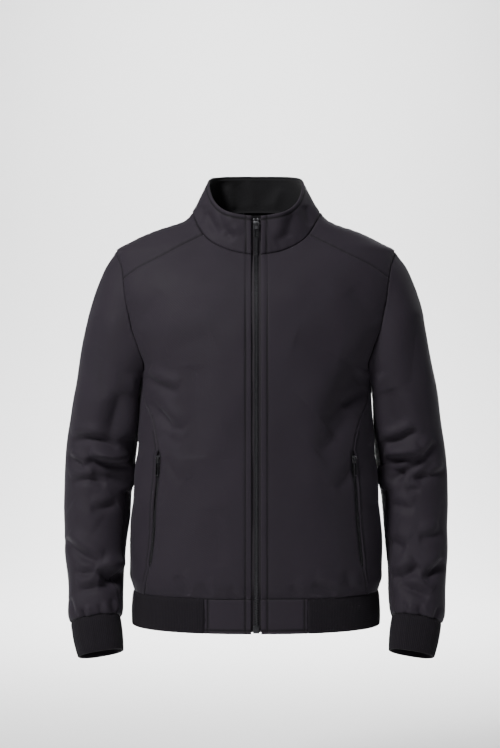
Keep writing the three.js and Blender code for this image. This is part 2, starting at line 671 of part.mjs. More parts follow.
// Body panels
const plainStations = (side, places, back) =>
  places.map((row) => row.map((q) => torsoStation(side, q.x, q.z, q.back ?? back)));

// Sets the way through the cloth along one edge of a grid of stations
function setInward(cells, inwards) {
  cells.forEach((cell, k) => {
    cell.inward = inwards[k].clone();
  });
}
const levelInward = (cells) =>
  cells.map((cell) => cell.inward.clone().setZ(0).normalize().multiplyScalar(cell.inward.length()));
const armholePart = (side, from, to) =>
  Array.from({ length: to - from + 1 }, (_, i) => mirrored(armholeInward[(from + i) % around], side));

// The pocket's edges stand apart between the two ends of its zip.
const pocketHalfGap = (index) => {
  const z = POCKET_STATIONS[index];
  return z <= POCKET_TOP_Z && z >= POCKET_BOTTOM_Z ? POCKET_OPEN_HALF : SEAM_GAP / 2;
};

function frontWall(side) {
  const top = [...frontNeckPlaces.slice(0, -1), ...yokeSeamPlaces];
  const right = [...armholeFront.slice(0, -1), ...pocketPlaces];
  const hemCorner = { x: FRONT_EDGE_X, z: HEM_SEAM_Z };
  const bottom = evenPlaces(hemCorner, right.at(-1), top.length - 1);
  const left = evenPlaces(top[0], hemCorner, right.length - 1);
  const grid = plainStations(side, coons(top, bottom, left, right), false);
  setInward(grid.at(-1), levelInward(grid.at(-1)));
  setInward(grid[0].slice(0, COUNT.frontNeck + 1), neckInward(side).slice(0, COUNT.frontNeck + 1));
  const armhole = grid.slice(0, COUNT.armholeFront + 1).map((row) => row.at(-1));
  setInward(armhole, armholePart(side, COUNT.yokeDepth, underStart));
  const halfGap = (edge, index) =>
    edge === "right" && index > COUNT.armholeFront ? pocketHalfGap(index - COUNT.armholeFront) : SEAM_GAP / 2;
  return wallOf(partEdges(grid, halfGap));
}

function yokeWall(side) {
  const top = shoulderPlaces;
  const bottom = yokeSeamPlaces;
  const left = [...yokeNeckPlaces].reverse();
  const right = armholeYoke;
  const grid = plainStations(side, coons(top, bottom, left, right), false);
  const neck = neckInward(side).slice(COUNT.frontNeck, COUNT.frontNeck + COUNT.yokeDepth + 1);
  setInward(grid.map((row) => row[0]), neck.reverse());
  setInward(grid.map((row) => row.at(-1)), armholePart(side, 0, COUNT.yokeDepth));
  return wallOf(partEdges(grid));
}

// The side panel runs round under the arm, so its grid is worked out in angles from the front.
function sideWall(side) {
  const toAngle = (q) => ({ x: Math.atan2(q.x, -torsoY(q.x, q.z, q.back)), z: q.z });
  const left = pocketPlaces.map(toAngle);
  const right = sideSeamPlaces.map(toAngle);
  const top = armholeUnder.map(toAngle);
  const bottom = evenPlaces(left.at(-1), right.at(-1), top.length - 1);
  const places = coons(top, bottom, left, right).map((row) =>
    row.map((q) => {
      const p = torsoPolar(q.x, q.z);
      return { x: p.x, z: q.z, back: p.y > 0 };
    }),
  );
  const grid = plainStations(side, places, false);
  setInward(grid.at(-1), levelInward(grid.at(-1)));
  setInward(grid[0], armholePart(side, underStart, underEnd));
  return wallOf(partEdges(grid, (edge, index) => (edge === "left" ? pocketHalfGap(index) : SEAM_GAP / 2)));
}

// The point of the section at z in the direction `angle`, counted from the front
function torsoPolar(angle, z) {
  const section = torsoAt(z);
  const depth = Math.cos(angle) > 0 ? section.front : section.back;
  const a = Math.abs(Math.sin(angle) / section.half) ** RING_POWER;
  const b = Math.abs(Math.cos(angle) / depth) ** RING_POWER;
  const radius = (a + b) ** (-1 / RING_POWER);
  return vec(radius * Math.sin(angle), -radius * Math.cos(angle), z);
}

function backWall() {
  const opposite = (places) => places.map((q) => ({ ...q, x: -q.x })).reverse();
  const shoulder = [...shoulderPlaces].reverse();
  const top = [...shoulder.slice(0, -1), ...backNeckPlaces, ...opposite(shoulder).slice(1)];
  const left = [...[...armholeBack].reverse(), ...sideSeamPlaces.slice(1)];
  const right = left.map((q) => ({ ...q, x: -q.x }));
  const bottom = evenPlaces(left.at(-1), right.at(-1), top.length - 1);
  const places = coons(top, bottom, left, right).map((row) => row.map((q) => ({ ...q, back: true })));
  const grid = plainStations(1, places, true);
  const tip = Array.from({ length: COUNT.armholeBack + 1 }, (_, i) => armholeInward[(around - i) % around]);
  setInward(grid.at(-1), levelInward(grid.at(-1)));
  setInward(grid[0].slice(COUNT.shoulder, COUNT.shoulder + COUNT.backNeck + 1), backNeckInward());
  const armhole = grid.slice(0, COUNT.armholeBack + 1);
  setInward(armhole.map((row) => row[0]), tip);
  setInward(armhole.map((row) => row.at(-1)), tip.map((v) => mirrored(v, -1)));
  return wallOf(partEdges(grid));
}

// Collar
const neckHalf = [...frontNeckPlaces.slice(0, -1), ...yokeNeckPlaces];
const neckAll = [
  ...neckHalf.slice(0, -1).map((q) => vec(q.x, torsoY(q.x, q.z, false), q.z)),
  ...backNeckPlaces.map((q) => vec(q.x, torsoY(q.x, q.z, true), q.z)),
  ...neckHalf.slice(0, -1).reverse().map((q) => vec(-q.x, torsoY(q.x, q.z, false), q.z)),
];

function collarPoints() {
  const lengths = [0];
  neckAll.slice(1).forEach((p, i) => lengths.push(lengths[i] + p.distanceTo(neckAll[i])));
  const topEdge = lengths.map((s) => {
    const t = (2 * s) / lengths.at(-1);
    const p = share(COLLAR_TOP, Math.min(t, 2 - t));
    return t <= 1 ? p : mirrored(p, -1);
  });
  return span(COUNT.collar).map((v) => neckAll.map((base, k) => base.clone().lerp(topEdge[k], v)));
}
const collarGrid = collarPoints();
const collarNormals = gridNormals(collarGrid, false, () => vec(0, 0, 0));
const neckMitre = (k, thick) => mitre(torsoNormal(neckAll[k]), collarNormals[0][k], thick);
const neckInward = (side) => neckHalf.map((_, k) => mirrored(neckMitre(k, CLOTH), side));
const backNeckInward = () => backNeckPlaces.map((_, i) => neckMitre(neckHalf.length - 1 + i, CLOTH));

function collarWall() {
  const last = neckAll.length - 1;
  const grid = collarGrid.map((row, j) =>
    row.map((p, k) => {
      const plain = collarNormals[j][k].clone().multiplyScalar(-DOUBLE_CLOTH);
      const inward = j === 0 ? neckMitre(k, DOUBLE_CLOTH) : plain;
      if (k === 0 || k === last) inward.setX(0);
      return { p, inward };
    }),
  );
  return wallOf(partEdges(grid, (edge) => (edge === "bottom" ? 0 : SEAM_GAP / 2)));
}

// Hem
const HEM_SAMPLES = 720; // steps that measure the way round the hem
function hemRibWall() {
  const start = Math.atan2(TAB_END_X, -torsoY(TAB_END_X, HEM_SEAM_Z, false));
  const fine = span(HEM_SAMPLES).map((t) => mixed(start, 2 * Math.PI - start, t));
  const lengths = [0];
  fine.slice(1).forEach((angle, i) => {
    lengths.push(lengths[i] + torsoPolar(angle, HEM_SEAM_Z).distanceTo(torsoPolar(fine[i], HEM_SEAM_Z)));
  });
  const ribs = Math.round(lengths.at(-1) / RIB_PITCH);
  const stations = span(2 * ribs).map((t, k) => {
    const at = lengths.findIndex((s) => s >= t * lengths.at(-1) - 1e-9);
    const rise = k % 2 === 0 ? 0 : RIB_RISE;
    const ends = k === 0 || k === 2 * ribs;
    const endX = Math.sign(1 - 2 * t) * (TAB_END_X + SEAM_GAP / 2);
    const point = (z) => (ends ? vec(endX, torsoY(endX, z, false), z) : torsoPolar(fine[at], z));
    const way = (p) => (ends ? vec(0, 1, 0) : torsoNormal(p).setZ(0).normalize().negate());
    const [upper, lower] = [point(HEM_SEAM_Z - SEAM_GAP / 2), point(HEM_Z)];
    return {
      top: upper.clone().addScaledVector(way(upper), -rise),
      bottom: lower.clone().addScaledVector(way(lower), -rise),
      topIn: upper.clone().addScaledVector(way(upper), RIB_CLOTH),
      bottomIn: lower.clone().addScaledVector(way(lower), RIB_CLOTH),
    };
  });
  return ribWall(stations, false);
}

function tabWall(side) {
  const places = span(2).map((v) =>
    span(5).map((u) => ({ x: mixed(FRONT_EDGE_X, TAB_END_X, u), z: mixed(HEM_SEAM_Z, HEM_Z, v) })),
  );
  const grid = plainStations(side, places, false);
  grid.forEach((row) => setInward(row, row.map(() => vec(0, DOUBLE_CLOTH, 0))));
  return wallOf(partEdges(grid));
}

// A closed solid from the section of {x, out} points of each frame {at, right, out, section}
function sweep(frames) {
  const points = frames.flatMap((f) =>
    f.section.map((q) => f.at.clone().addScaledVector(f.right, q.x).addScaledVector(f.out, q.out)),
  );
  const n = frames[0].section.length;
  const triangles = [];
  for (let j = 0; j < frames.length - 1; j += 1) {
    for (let i = 0; i < n; i += 1) {
      const k = (i + 1) % n;
      triangles.push([j * n + i, j * n + k, (j + 1) * n + k], [j * n + i, (j + 1) * n + k, (j + 1) * n + i]);
    }
  }
  const flat = frames[0].section.map((q) => new THREE.Vector2(q.x, q.out));
  const end = (frames.length - 1) * n;
  for (const [a, b, c] of THREE.ShapeUtils.triangulateShape(flat, [])) {
    triangles.push([a, c, b], [end + a, end + b, end + c]);
  }
  return geometryOf(points, triangles);
}

// A zip's tape with its chain of teeth raised along the middle; the section runs anticlockwise.
const zipSection = (tape, chain, rise) => [
  { x: -tape, out: 0 },
  { x: -tape, out: -TAPE_THICK },
  { x: tape, out: -TAPE_THICK },
  { x: tape, out: 0 },
  { x: chain, out: 0 },
  { x: chain, out: rise },
  { x: -chain, out: rise },
  { x: -chain, out: 0 },
];

// The y of the collar's front edge at a height
function collarFrontY(z) {
  const t = (z - neckAll[0].z) / (COLLAR_TOP[0].z - neckAll[0].z);
  return mixed(neckAll[0].y, COLLAR_TOP[0].y, t);
}
// How far the tape's outer face lies behind the cloth's outer face: at the body, collar and tabs
const TAPE_DEPTH = CLOTH + RUNNING_GAP;
const COLLAR_TAPE_DEPTH = DOUBLE_CLOTH + 1.2;
const TAB_TAPE_DEPTH = DOUBLE_CLOTH + RUNNING_GAP + 0.3;
const COLLAR_ZIP_ROWS = [ZIP_TOP_Z, -32, -48, -64];

function frontZip() {
  const rowCount = COUNT.armholeFront + COUNT.side;
  const frames = [];
  const addFrame = (p, out, depth) => {
    const section = zipSection(TAPE_HALF, CHAIN_HALF, depth - CHAIN_DEPTH);
    frames.push({ at: p.clone().addScaledVector(out, -depth), out, right: vec(1, 0, 0), section });
  };
  const forward = vec(0, -1, 0);
  for (const z of COLLAR_ZIP_ROWS) addFrame(vec(0, collarFrontY(z), z), forward, COLLAR_TAPE_DEPTH);
  span(rowCount).forEach((t, k) => {
    const z = mixed(FRONT_NECKLINE[0].z, HEM_SEAM_Z, t);
    const p = vec(0, torsoY(FRONT_EDGE_X, z, false), z);
    const out = torsoNormal(p).setX(0).normalize();
    if (k === 0) addFrame(p, out.add(forward).normalize(), COLLAR_TAPE_DEPTH);
    else if (k === rowCount) addFrame(p, forward, TAB_TAPE_DEPTH);
    else addFrame(p, out, TAPE_DEPTH);
  });
  addFrame(vec(0, torsoY(FRONT_EDGE_X, ZIP_BOTTOM_Z, false), ZIP_BOTTOM_Z), forward, TAB_TAPE_DEPTH);
  return sweep(frames);
}

const POCKET_SLOPE_STEP = 8;
const POCKET_TAPE_PAST = 9; // how far the tape goes on past each end of the opening
const POCKET_CHAIN_SLOPE = [3, 4]; // the chain sinks between these distances from the opening's ends
// The frame of the pocket's zip at a height, at the depth of the tape's outer face
function pocketFrame(side, z) {
  const at = (height) => {
    const x = column(pocketRows, "z", "x", height);
    return vec(x, torsoY(x, height, false), height);
  };
  const p = at(z);
  const out = torsoNormal(p);
  const up = at(z + POCKET_SLOPE_STEP).sub(at(z - POCKET_SLOPE_STEP)).normalize();
  const right = up.clone().cross(out).normalize();
  p.addScaledVector(out, -POCKET_TAPE_DEPTH);
  return { at: mirrored(p, side), out: mirrored(out, side), right: mirrored(right, side) };
}

// The chain sinks to the tape where the pocket's edges come together.
function pocketZip(side) {
  const [slopeStart, slopeEnd] = POCKET_CHAIN_SLOPE;
  const frames = [POCKET_TOP_Z + POCKET_TAPE_PAST, POCKET_TOP_Z - slopeStart, POCKET_TOP_Z - slopeEnd]
    .concat(POCKET_STATIONS.slice(5, 9))
    .concat([POCKET_BOTTOM_Z + slopeEnd, POCKET_BOTTOM_Z + slopeStart, POCKET_BOTTOM_Z - POCKET_TAPE_PAST])
    .map((z) => pocketFrame(side, z));
  const flatEnds = [0, 1, frames.length - 2, frames.length - 1];
  frames.forEach((f, k) => {
    const rise = flatEnds.includes(k) ? FLAT_CHAIN_RISE : POCKET_TAPE_DEPTH - CHAIN_DEPTH;
    f.section = zipSection(POCKET_TAPE_HALF, POCKET_CHAIN_HALF, rise);
  });
  return sweep(frames);
}

// Small metal pieces. They are made with x to the right, -y away from the cloth and z up the zip, from
// the outer face of the chain, then turned into place.
function solidFrom(geometry) {
  geometry.deleteAttribute("normal");
  geometry.deleteAttribute("uv");
  const merged = mergeVertices(geometry, 1e-4);
  return new wasm.Manifold(
    new wasm.Mesh({
      numProp: 3,
      vertProperties: new Float32Array(merged.attributes.position.array),
      triVerts: new Uint32Array(merged.index.array),
    }),
  );
}
function boxSolid(x0, x1, y0, y1, z0, z1) {
  const box = new THREE.BoxGeometry(x1 - x0, y1 - y0, z1 - z0);
  return solidFrom(box.translate((x0 + x1) / 2, (y0 + y1) / 2, (z0 + z1) / 2));
}
function rodSolid(radius, length, y, z) {
  const rod = new THREE.CylinderGeometry(radius, radius, length, ROD_SIDES);
  return solidFrom(rod.rotateZ(Math.PI / 2).translate(0, y, z));
}

function geometryFrom(solid) {
  const mesh = solid.getMesh();
  const geometry = new THREE.BufferGeometry();
  geometry.setAttribute("position", new THREE.Float32BufferAttribute(mesh.vertProperties, mesh.numProp));
  geometry.setIndex(Array.from(mesh.triVerts));
  return geometry;
}

// The pull's pin, out from the chain and up from the slider's middle
const PIN_Y = -(RUNNING_GAP + SLIDER.plate + SLIDER.knuckle + RUNNING_GAP);
const PIN_Z = 2.5;

// A slider's plate on the chain, with two lugs that hold the pull's pin
function sliderGeometry(half) {
  const face = -(RUNNING_GAP + SLIDER.plate);
  let solid = boxSolid(-half, half, face, -RUNNING_GAP, -SLIDER.length / 2, SLIDER.length / 2);
  for (const end of [-1, 1]) {
    const [a, b] = [end * (half - SLIDER.lugThick), end * half].sort((p, q) => p - q);
    const [low, high] = [PIN_Z - SLIDER.lug, PIN_Z + SLIDER.lug];
    solid = solid.add(boxSolid(a, b, PIN_Y - SLIDER.lug, face + SLIDER.sunk, low, high));
  }
  return geometryFrom(solid.add(rodSolid(SLIDER.pinRadius, 2 * (half - SLIDER.sunk), PIN_Y, PIN_Z)));
}

const PULL_NECK = 1.6; // the plate starts below the pin by this many lugs, and reaches into the knuckle's web
// A pull about its own pin: a knuckle with a hole, and a plate with a slot that hangs from it
function pullGeometry(size, half) {
  const knuckle = half - SLIDER.lugThick - RUNNING_GAP;
  const neck = SLIDER.lug * PULL_NECK + RUNNING_GAP;
  let solid = rodSolid(SLIDER.knuckle, 2 * knuckle, 0, 0);
  solid = solid.add(boxSolid(-knuckle, knuckle, -size.thick / 2, size.thick / 2, -neck - 2 * SLIDER.sunk, 0));
  solid = solid.add(boxSolid(-size.half, size.half, -size.thick / 2, size.thick / 2, -size.length, -neck));
  solid = solid.subtract(rodSolid(SLIDER.pinRadius + RUNNING_GAP, 4 * half, 0, 0));
  const slot = size.half - size.rim;
  const [slotLow, slotHigh] = [-size.length + size.rim, -neck - size.rim];
  return geometryFrom(solid.subtract(boxSolid(-slot, slot, -size.thick, size.thick, slotLow, slotHigh)));
}

// Assembly
const SOFTSHELL = "#36333a";
const RIB = "#26262b";
const TAPE = "#17171a";
const METAL = "#2b2c30";

const jacket = new THREE.Group();
function addPiece(name, geometry, color, roughness, metalness = 0) {
  const material = new THREE.MeshStandardMaterial({ color, roughness, metalness });
  const mesh = new THREE.Mesh(geometry, material);
  mesh.name = name;
  jacket.add(mesh);
  return mesh;
}

// Adds a slider and its pull in a frame {at, out, up}; the pull leans in by `lean` degrees.
function addSlider(name, frame, half, pull, lean) {
  const right = frame.up.clone().cross(frame.out).normalize();
  const basis = new THREE.Matrix4().makeBasis(right, frame.out.clone().negate(), frame.up);
  const slider = addPiece(`${name}_slider`, sliderGeometry(half), METAL, 0.35, 0.85);
  slider.applyMatrix4(basis.clone().setPosition(frame.at));
  const tab = addPiece(`${name}_pull`, pullGeometry(pull, half), METAL, 0.4, 0.7);
  tab.rotateX(THREE.MathUtils.degToRad(lean));
  tab.position.set(0, PIN_Y, PIN_Z);
  tab.applyMatrix4(basis.clone().setPosition(frame.at));
}

for (const [word, side] of [["right", -1], ["left", 1]]) {
  addPiece(`front_${word}`, frontWall(side), SOFTSHELL, 0.85);
  addPiece(`front_yoke_${word}`, yokeWall(side), SOFTSHELL, 0.85);
  addPiece(`side_panel_${word}`, sideWall(side), SOFTSHELL, 0.85);
  addPiece(`sleeve_upper_${word}`, sleeveWall(side, underEnd, around + underStart), SOFTSHELL, 0.85);
  addPiece(`sleeve_under_${word}`, sleeveWall(side, underStart, underEnd), SOFTSHELL, 0.85);
  addPiece(`cuff_${word}`, cuffWall(side), RIB, 0.95);
  addPiece(`hem_tab_${word}`, tabWall(side), SOFTSHELL, 0.85);
  addPiece(`pocket_zip_${word}`, pocketZip(side), TAPE, 0.6);
  const frame = pocketFrame(side, POCKET_SLIDER_Z);
  const below = pocketFrame(side, POCKET_SLIDER_Z - POCKET_PULL.length);
  frame.up = frame.at.clone().sub(below.at);
  frame.up.addScaledVector(frame.out, -frame.up.dot(frame.out)).normalize();
  frame.at.addScaledVector(frame.out, POCKET_TAPE_DEPTH - CHAIN_DEPTH);
  addSlider(`pocket_${word}`, frame, POCKET_SLIDER_HALF, POCKET_PULL, POCKET_PULL_LEAN);
}
addPiece("back", backWall(), SOFTSHELL, 0.85);
addPiece("collar", collarWall(), SOFTSHELL, 0.85);
addPiece("hem_rib", hemRibWall(), RIB, 0.95);
addPiece("front_zip", frontZip(), TAPE, 0.6);
const chainY = collarFrontY(FRONT_SLIDER_Z) + CHAIN_DEPTH;
const frontFrame = { at: vec(0, chainY, FRONT_SLIDER_Z), out: vec(0, -1, 0), up: vec(0, 0, 1) };
addSlider("front", frontFrame, FRONT_SLIDER_HALF, FRONT_PULL, FRONT_PULL_LEAN);

export default jacket;
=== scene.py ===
"""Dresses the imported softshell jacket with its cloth, seams, stitching, zips, ribs and metal."""

import json
import logging
import math
from collections.abc import Callable, Iterator, Sequence
from contextlib import contextmanager
from dataclasses import dataclass, field
from enum import Enum
from functools import partial
from typing import Any

import bpy
import numpy as np
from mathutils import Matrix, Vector

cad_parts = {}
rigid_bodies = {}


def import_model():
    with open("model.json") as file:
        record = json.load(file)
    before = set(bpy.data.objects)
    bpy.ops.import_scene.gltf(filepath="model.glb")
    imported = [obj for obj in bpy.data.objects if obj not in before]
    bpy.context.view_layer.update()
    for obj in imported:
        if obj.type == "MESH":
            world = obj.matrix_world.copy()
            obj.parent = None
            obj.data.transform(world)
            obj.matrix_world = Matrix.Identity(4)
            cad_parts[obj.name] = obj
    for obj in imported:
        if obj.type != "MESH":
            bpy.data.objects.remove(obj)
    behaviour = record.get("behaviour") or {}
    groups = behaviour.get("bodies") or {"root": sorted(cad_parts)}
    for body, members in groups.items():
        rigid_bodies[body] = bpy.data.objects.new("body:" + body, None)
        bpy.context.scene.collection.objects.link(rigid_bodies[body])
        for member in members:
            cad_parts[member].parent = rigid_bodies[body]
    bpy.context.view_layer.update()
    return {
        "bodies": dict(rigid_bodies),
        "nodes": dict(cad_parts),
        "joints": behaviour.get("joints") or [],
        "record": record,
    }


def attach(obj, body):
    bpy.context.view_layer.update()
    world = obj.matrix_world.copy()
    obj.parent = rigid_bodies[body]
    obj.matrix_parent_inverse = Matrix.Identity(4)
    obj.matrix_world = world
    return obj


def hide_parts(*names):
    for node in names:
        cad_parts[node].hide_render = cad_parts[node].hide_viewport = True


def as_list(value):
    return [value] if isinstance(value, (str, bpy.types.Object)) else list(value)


Array = np.ndarray
Grid = Callable[[Array, Array], Array]  # points for shares across and down
ZipLine = Callable[[Array], tuple[Array, Array, Array, Array]]  # what it gives: see Chain.build
Piece = bpy.types.Object
Material = bpy.types.Material
LOG = logging.getLogger("jacket")

MM = 0.001  # sizes below are in millimetres, and meshes are in metres
TINY = 1e-9
BODY = "jacket"
SIDES = (("right", -1), ("left", 1))  # the wearer's sides, and the sign of x there

# Cloth
CLOTH = 2.4
DOUBLE_CLOTH = 3.6
RIB_CLOTH = 2.6
SEAM_GAP = 0.3
SEAM_LAP = 0.6

# What a seam does to the cloth beside it: a dark line of painted shade in its groove, short puckers and a
# slow swelling
SEAM_SHADE, SEAM_SHADE_WIDTH = 0.8, 0.9
PUCKER_AT, PUCKER_WIDTH = 4, 4.2
SEAM_SWELL, SEAM_SWELL_AT, SEAM_SWELL_WIDTH = 0.35, 3.4, 2.0

# What a row of stitches does: a channel darkened with painted shade, and a swelling between the row and the
# edge
CHANNEL_DEPTH, CHANNEL_WIDTH = 0.75, 1.25
ROW_SWELL, ROW_SWELL_WIDTH = 0.3, 1.8

WORN_WIDTH = 2.2  # how far in from its edges a panel looks worn
RIPPLE_SEED = 41
FAR = 1e3

# Body
RING_POWER = 2.3  # of the superellipses of the body's and the sleeves' sections
SHOULDER_TIP_Z = -62
HEM_SEAM_Z = -611
HEM_Z = -665
FRONT_EDGE_X = 7.6
BACK_NECK_RISE = 6
NECK_HALF = 103
TAB_END_X = 81
SIDE_SEAM_HEM_Y = 50

# Zips
ZIP_TOP_Z = -16
ZIP_BOTTOM_Z = -662
POCKET_TOP_Z = -384
POCKET_BOTTOM_Z = -562
POCKET_OPEN_X = 3.05  # how far a pocket's edge stands back from the seam, seen from the front
CHAIN_DEPTH = 1.05  # of the chain's outer face under the cloth's
FRONT_ZIP_DEPTHS = (  # heights, and how deep the tape lies there
    (-662, -611, -583, -102, -74, -16),
    (4.25, 4.25, 2.75, 2.75, 4.8, 4.8),
)
BOX_BOTTOM_Z, BOX_TOP_Z, BOX_HALF = -663.5, -652, 4.9
STOP_BOTTOM_Z, STOP_TOP_Z, STOP_WIDTH = -19.5, -16.6, 3.4
BOX_FACE_Z, STOP_FACE_Z = -656.0, -18.0  # where the cloth's face is read for each
TEETH_TOP_Z, TEETH_BOTTOM_Z = -34, -653
TEETH_SUNK = 0.1  # how far the teeth reach into the tape
POCKET_TEETH_DROP = 20  # from a pocket's top to its first tooth, under the slider
POCKET_TAPE_PAST = 9  # how far a pocket's tape passes its opening at each end
PULL_FOOT_DROPS = (46, 30)  # below a pocket's top, where its pull ends and the seam narrows

# z, half width, reach to the front, reach to the back
TORSO = (
    (8, 96, 34, 62), (0, 103, 38, 64), (-13, 116, 42, 68), (-30, 162, 49, 76), (-47, 199, 59, 84),
    (-62, 226, 68, 90), (-84, 229, 85, 98), (-112, 231, 103, 106), (-146, 228, 119, 112),
    (-186, 220, 129, 116), (-222, 204, 134, 116), (-252, 188, 137, 114), (-284, 184, 138, 111),
    (-325, 185, 137, 108), (-374, 191, 135, 105), (-454, 198, 132, 105), (-528, 204, 131, 110),
    (-587, 205.4, 130, 113), (-602, 201, 127, 110), (-611, 198, 124, 107), (-642, 198.6, 124, 107),
    (-665, 200, 124.6, 107.6),
)
# y, z of the armhole seam, down the front from the shoulder tip, under the arm and up the back
ARMHOLE = (
    (0, -62), (-30, -82), (-49, -110.6), (-60, -146), (-66, -186), (-64, -228), (-44, -262),
    (4, -278), (50, -262), (68, -222), (68, -180), (60, -138), (46, -102), (24, -75),
)
# its rows at the yoke seam, the sleeve's two seams, the middle between them, and its end
ROW_YOKE, ROW_UNDER, ROW_MIDDLE, ROW_BACK, ROW_END = 2, 6, 7, 8, 14
# x, z of the seams on the front
FRONT_NECKLINE = ((7.6, -74), (38, -68), (60, -59), (75, -49), (84, -39.5))
YOKE_NECKLINE = ((84, -39.5), (95, -21), (103, 0))
YOKE_SEAM = ((84, -39.5), (145, -72), (184, -91), (211.3, -110.6))
POCKET_SEAM = (
    (176, -300), (163, -336), (153, -389), (158, -459), (166, -550), (172, -585), (176, -611),
)
# x, y, z of the collar's top edge, from the zip round to the centre back
COLLAR_TOP = (
    (7.6, -74, -12), (38, -71, -7), (57, -56, 3), (70, -38, 20), (77, -10, 44), (74, 20, 58),
    (58, 44, 63.5), (30, 58, 65.6), (0, 61.5, 66),
)
# share of the length, outer x and z, inner x and z, middle y, half depth, raise of the front in degrees
SLEEVE = (
    (0, 226, -62, 187, -278, 2, 67, 0), (0.08, 247, -93, 190.5, -283, 3, 70, 0),
    (0.2, 267, -147, 191.5, -291, 5, 73, -2), (0.34, 284, -228, 190.5, -312, 9, 75, -4),
    (0.46, 299, -315, 191.5, -352, 13, 71, -5), (0.57, 309, -396, 197.5, -410, 17, 65, 0),
    (0.67, 312, -463, 204, -462, 12, 60, 8), (0.78, 310, -535, 209.5, -528, -5, 55, 14),
    (0.9, 303.5, -606, 211.5, -596, -27, 50, 17), (0.97, 300, -648, 213, -636, -43, 46, 17),
    (1, 295.5, -659, 216, -646, -49, 40, 17),
)
CUFF_END = (281, -711, 210.5, -699, -66, 35, 17)
CUFF_TUCK = 1.2
ARMHOLE_BLEND = 0.34

# Fine grids of cloth
CELL = 3.2
EDGE_STEPS = (0.5, 1.1, 1.9, 3.0)  # extra lines of points beside each edge
LEAST_STEP = 0.15
LOOP_POINTS = 560


def smoothstep(x: Array, low: float, high: float) -> Array:
    """A smooth rise from 0 at low to 1 at high."""
    t = np.clip((np.asarray(x, float) - low) / (high - low), 0, 1)
    return t * t * (3 - 2 * t)


def bell(distance: Array, width: float) -> Array:
    """1 at distance 0, falling away smoothly over a width on both sides."""
    return np.exp(-((distance / width) ** 2))


def unit(v: Array) -> Array:
    """Vectors along the last axis, made one long."""
    return v / np.maximum(np.linalg.norm(v, axis=-1, keepdims=True), TINY)


def mirrored(points: Array, side: int) -> Array:
    """Points of the left side, on the side that is given."""
    return points * np.array([side, 1, 1])


def read_along(sums: Array, values: Array, at: Array) -> Array:
    """The values of a line's points, read at distances along it.

    Args:
        sums: each point's distance from the start.
        values: a row for each point.
        at: the distances wanted.

    Returns:
        A row for each distance.
    """
    return np.stack([np.interp(at, sums, column) for column in values.T], -1)


class Column:
    """A smooth curve through a table's rows that doesn't overshoot them."""

    def __init__(self, at: Array, values: Array) -> None:
        """Orders the rows and works out the curve's slope at each.

        Args:
            at: where the rows are.
            values: the value of each row.
        """
        order = np.argsort(at)
        self.at, self.values = np.asarray(at, float)[order], np.asarray(values, float)[order]
        slopes = np.diff(self.values) / np.diff(self.at)
        before, after = slopes[:-1], slopes[1:]
        alike = before * after > 0
        knees = np.where(alike, 2 * before * after / np.where(alike, before + after, 1), 0)
        self.knees = np.concatenate([slopes[:1], knees, slopes[-1:]])

    def __call__(self, x: Array) -> Array:
        """The curve's value at x."""
        x = np.asarray(x, float)
        i = np.clip(np.searchsorted(self.at, x, side="right") - 1, 0, len(self.at) - 2)
        width = self.at[i + 1] - self.at[i]
        t = np.clip((x - self.at[i]) / width, 0, 1)
        rise = t * t * (3 - 2 * t)
        bend = self.knees[i] * (t**3 - 2 * t**2 + t) + self.knees[i + 1] * (t**3 - t**2)
        return self.values[i] * (1 - rise) + self.values[i + 1] * rise + width * bend


def along_rows(rows: Array, t: Array, closed: bool = False) -> Array:
    """Points of a table on a Catmull-Rom curve.

    Args:
        rows: the table's points.
        t: places on it, counted in rows.
        closed: whether the last row joins the first.

    Returns:
        One point for each place.
    """
    rows, t = np.asarray(rows, float), np.asarray(t, float)
    count = len(rows)
    i = np.minimum(np.floor(t).astype(int), count - 1 if closed else count - 2)
    pick = [(i + k) % count if closed else np.clip(i + k, 0, count - 1) for k in (-1, 0, 1, 2)]
    p, q, r, w = (rows[k] for k in pick)
    s = (t - i)[:, None]
    curve = 2 * q + (r - p) * s + (2 * p - 5 * q + 4 * r - w) * s**2 + (3 * q - p - 3 * r + w) * s**3
    return 0.5 * curve


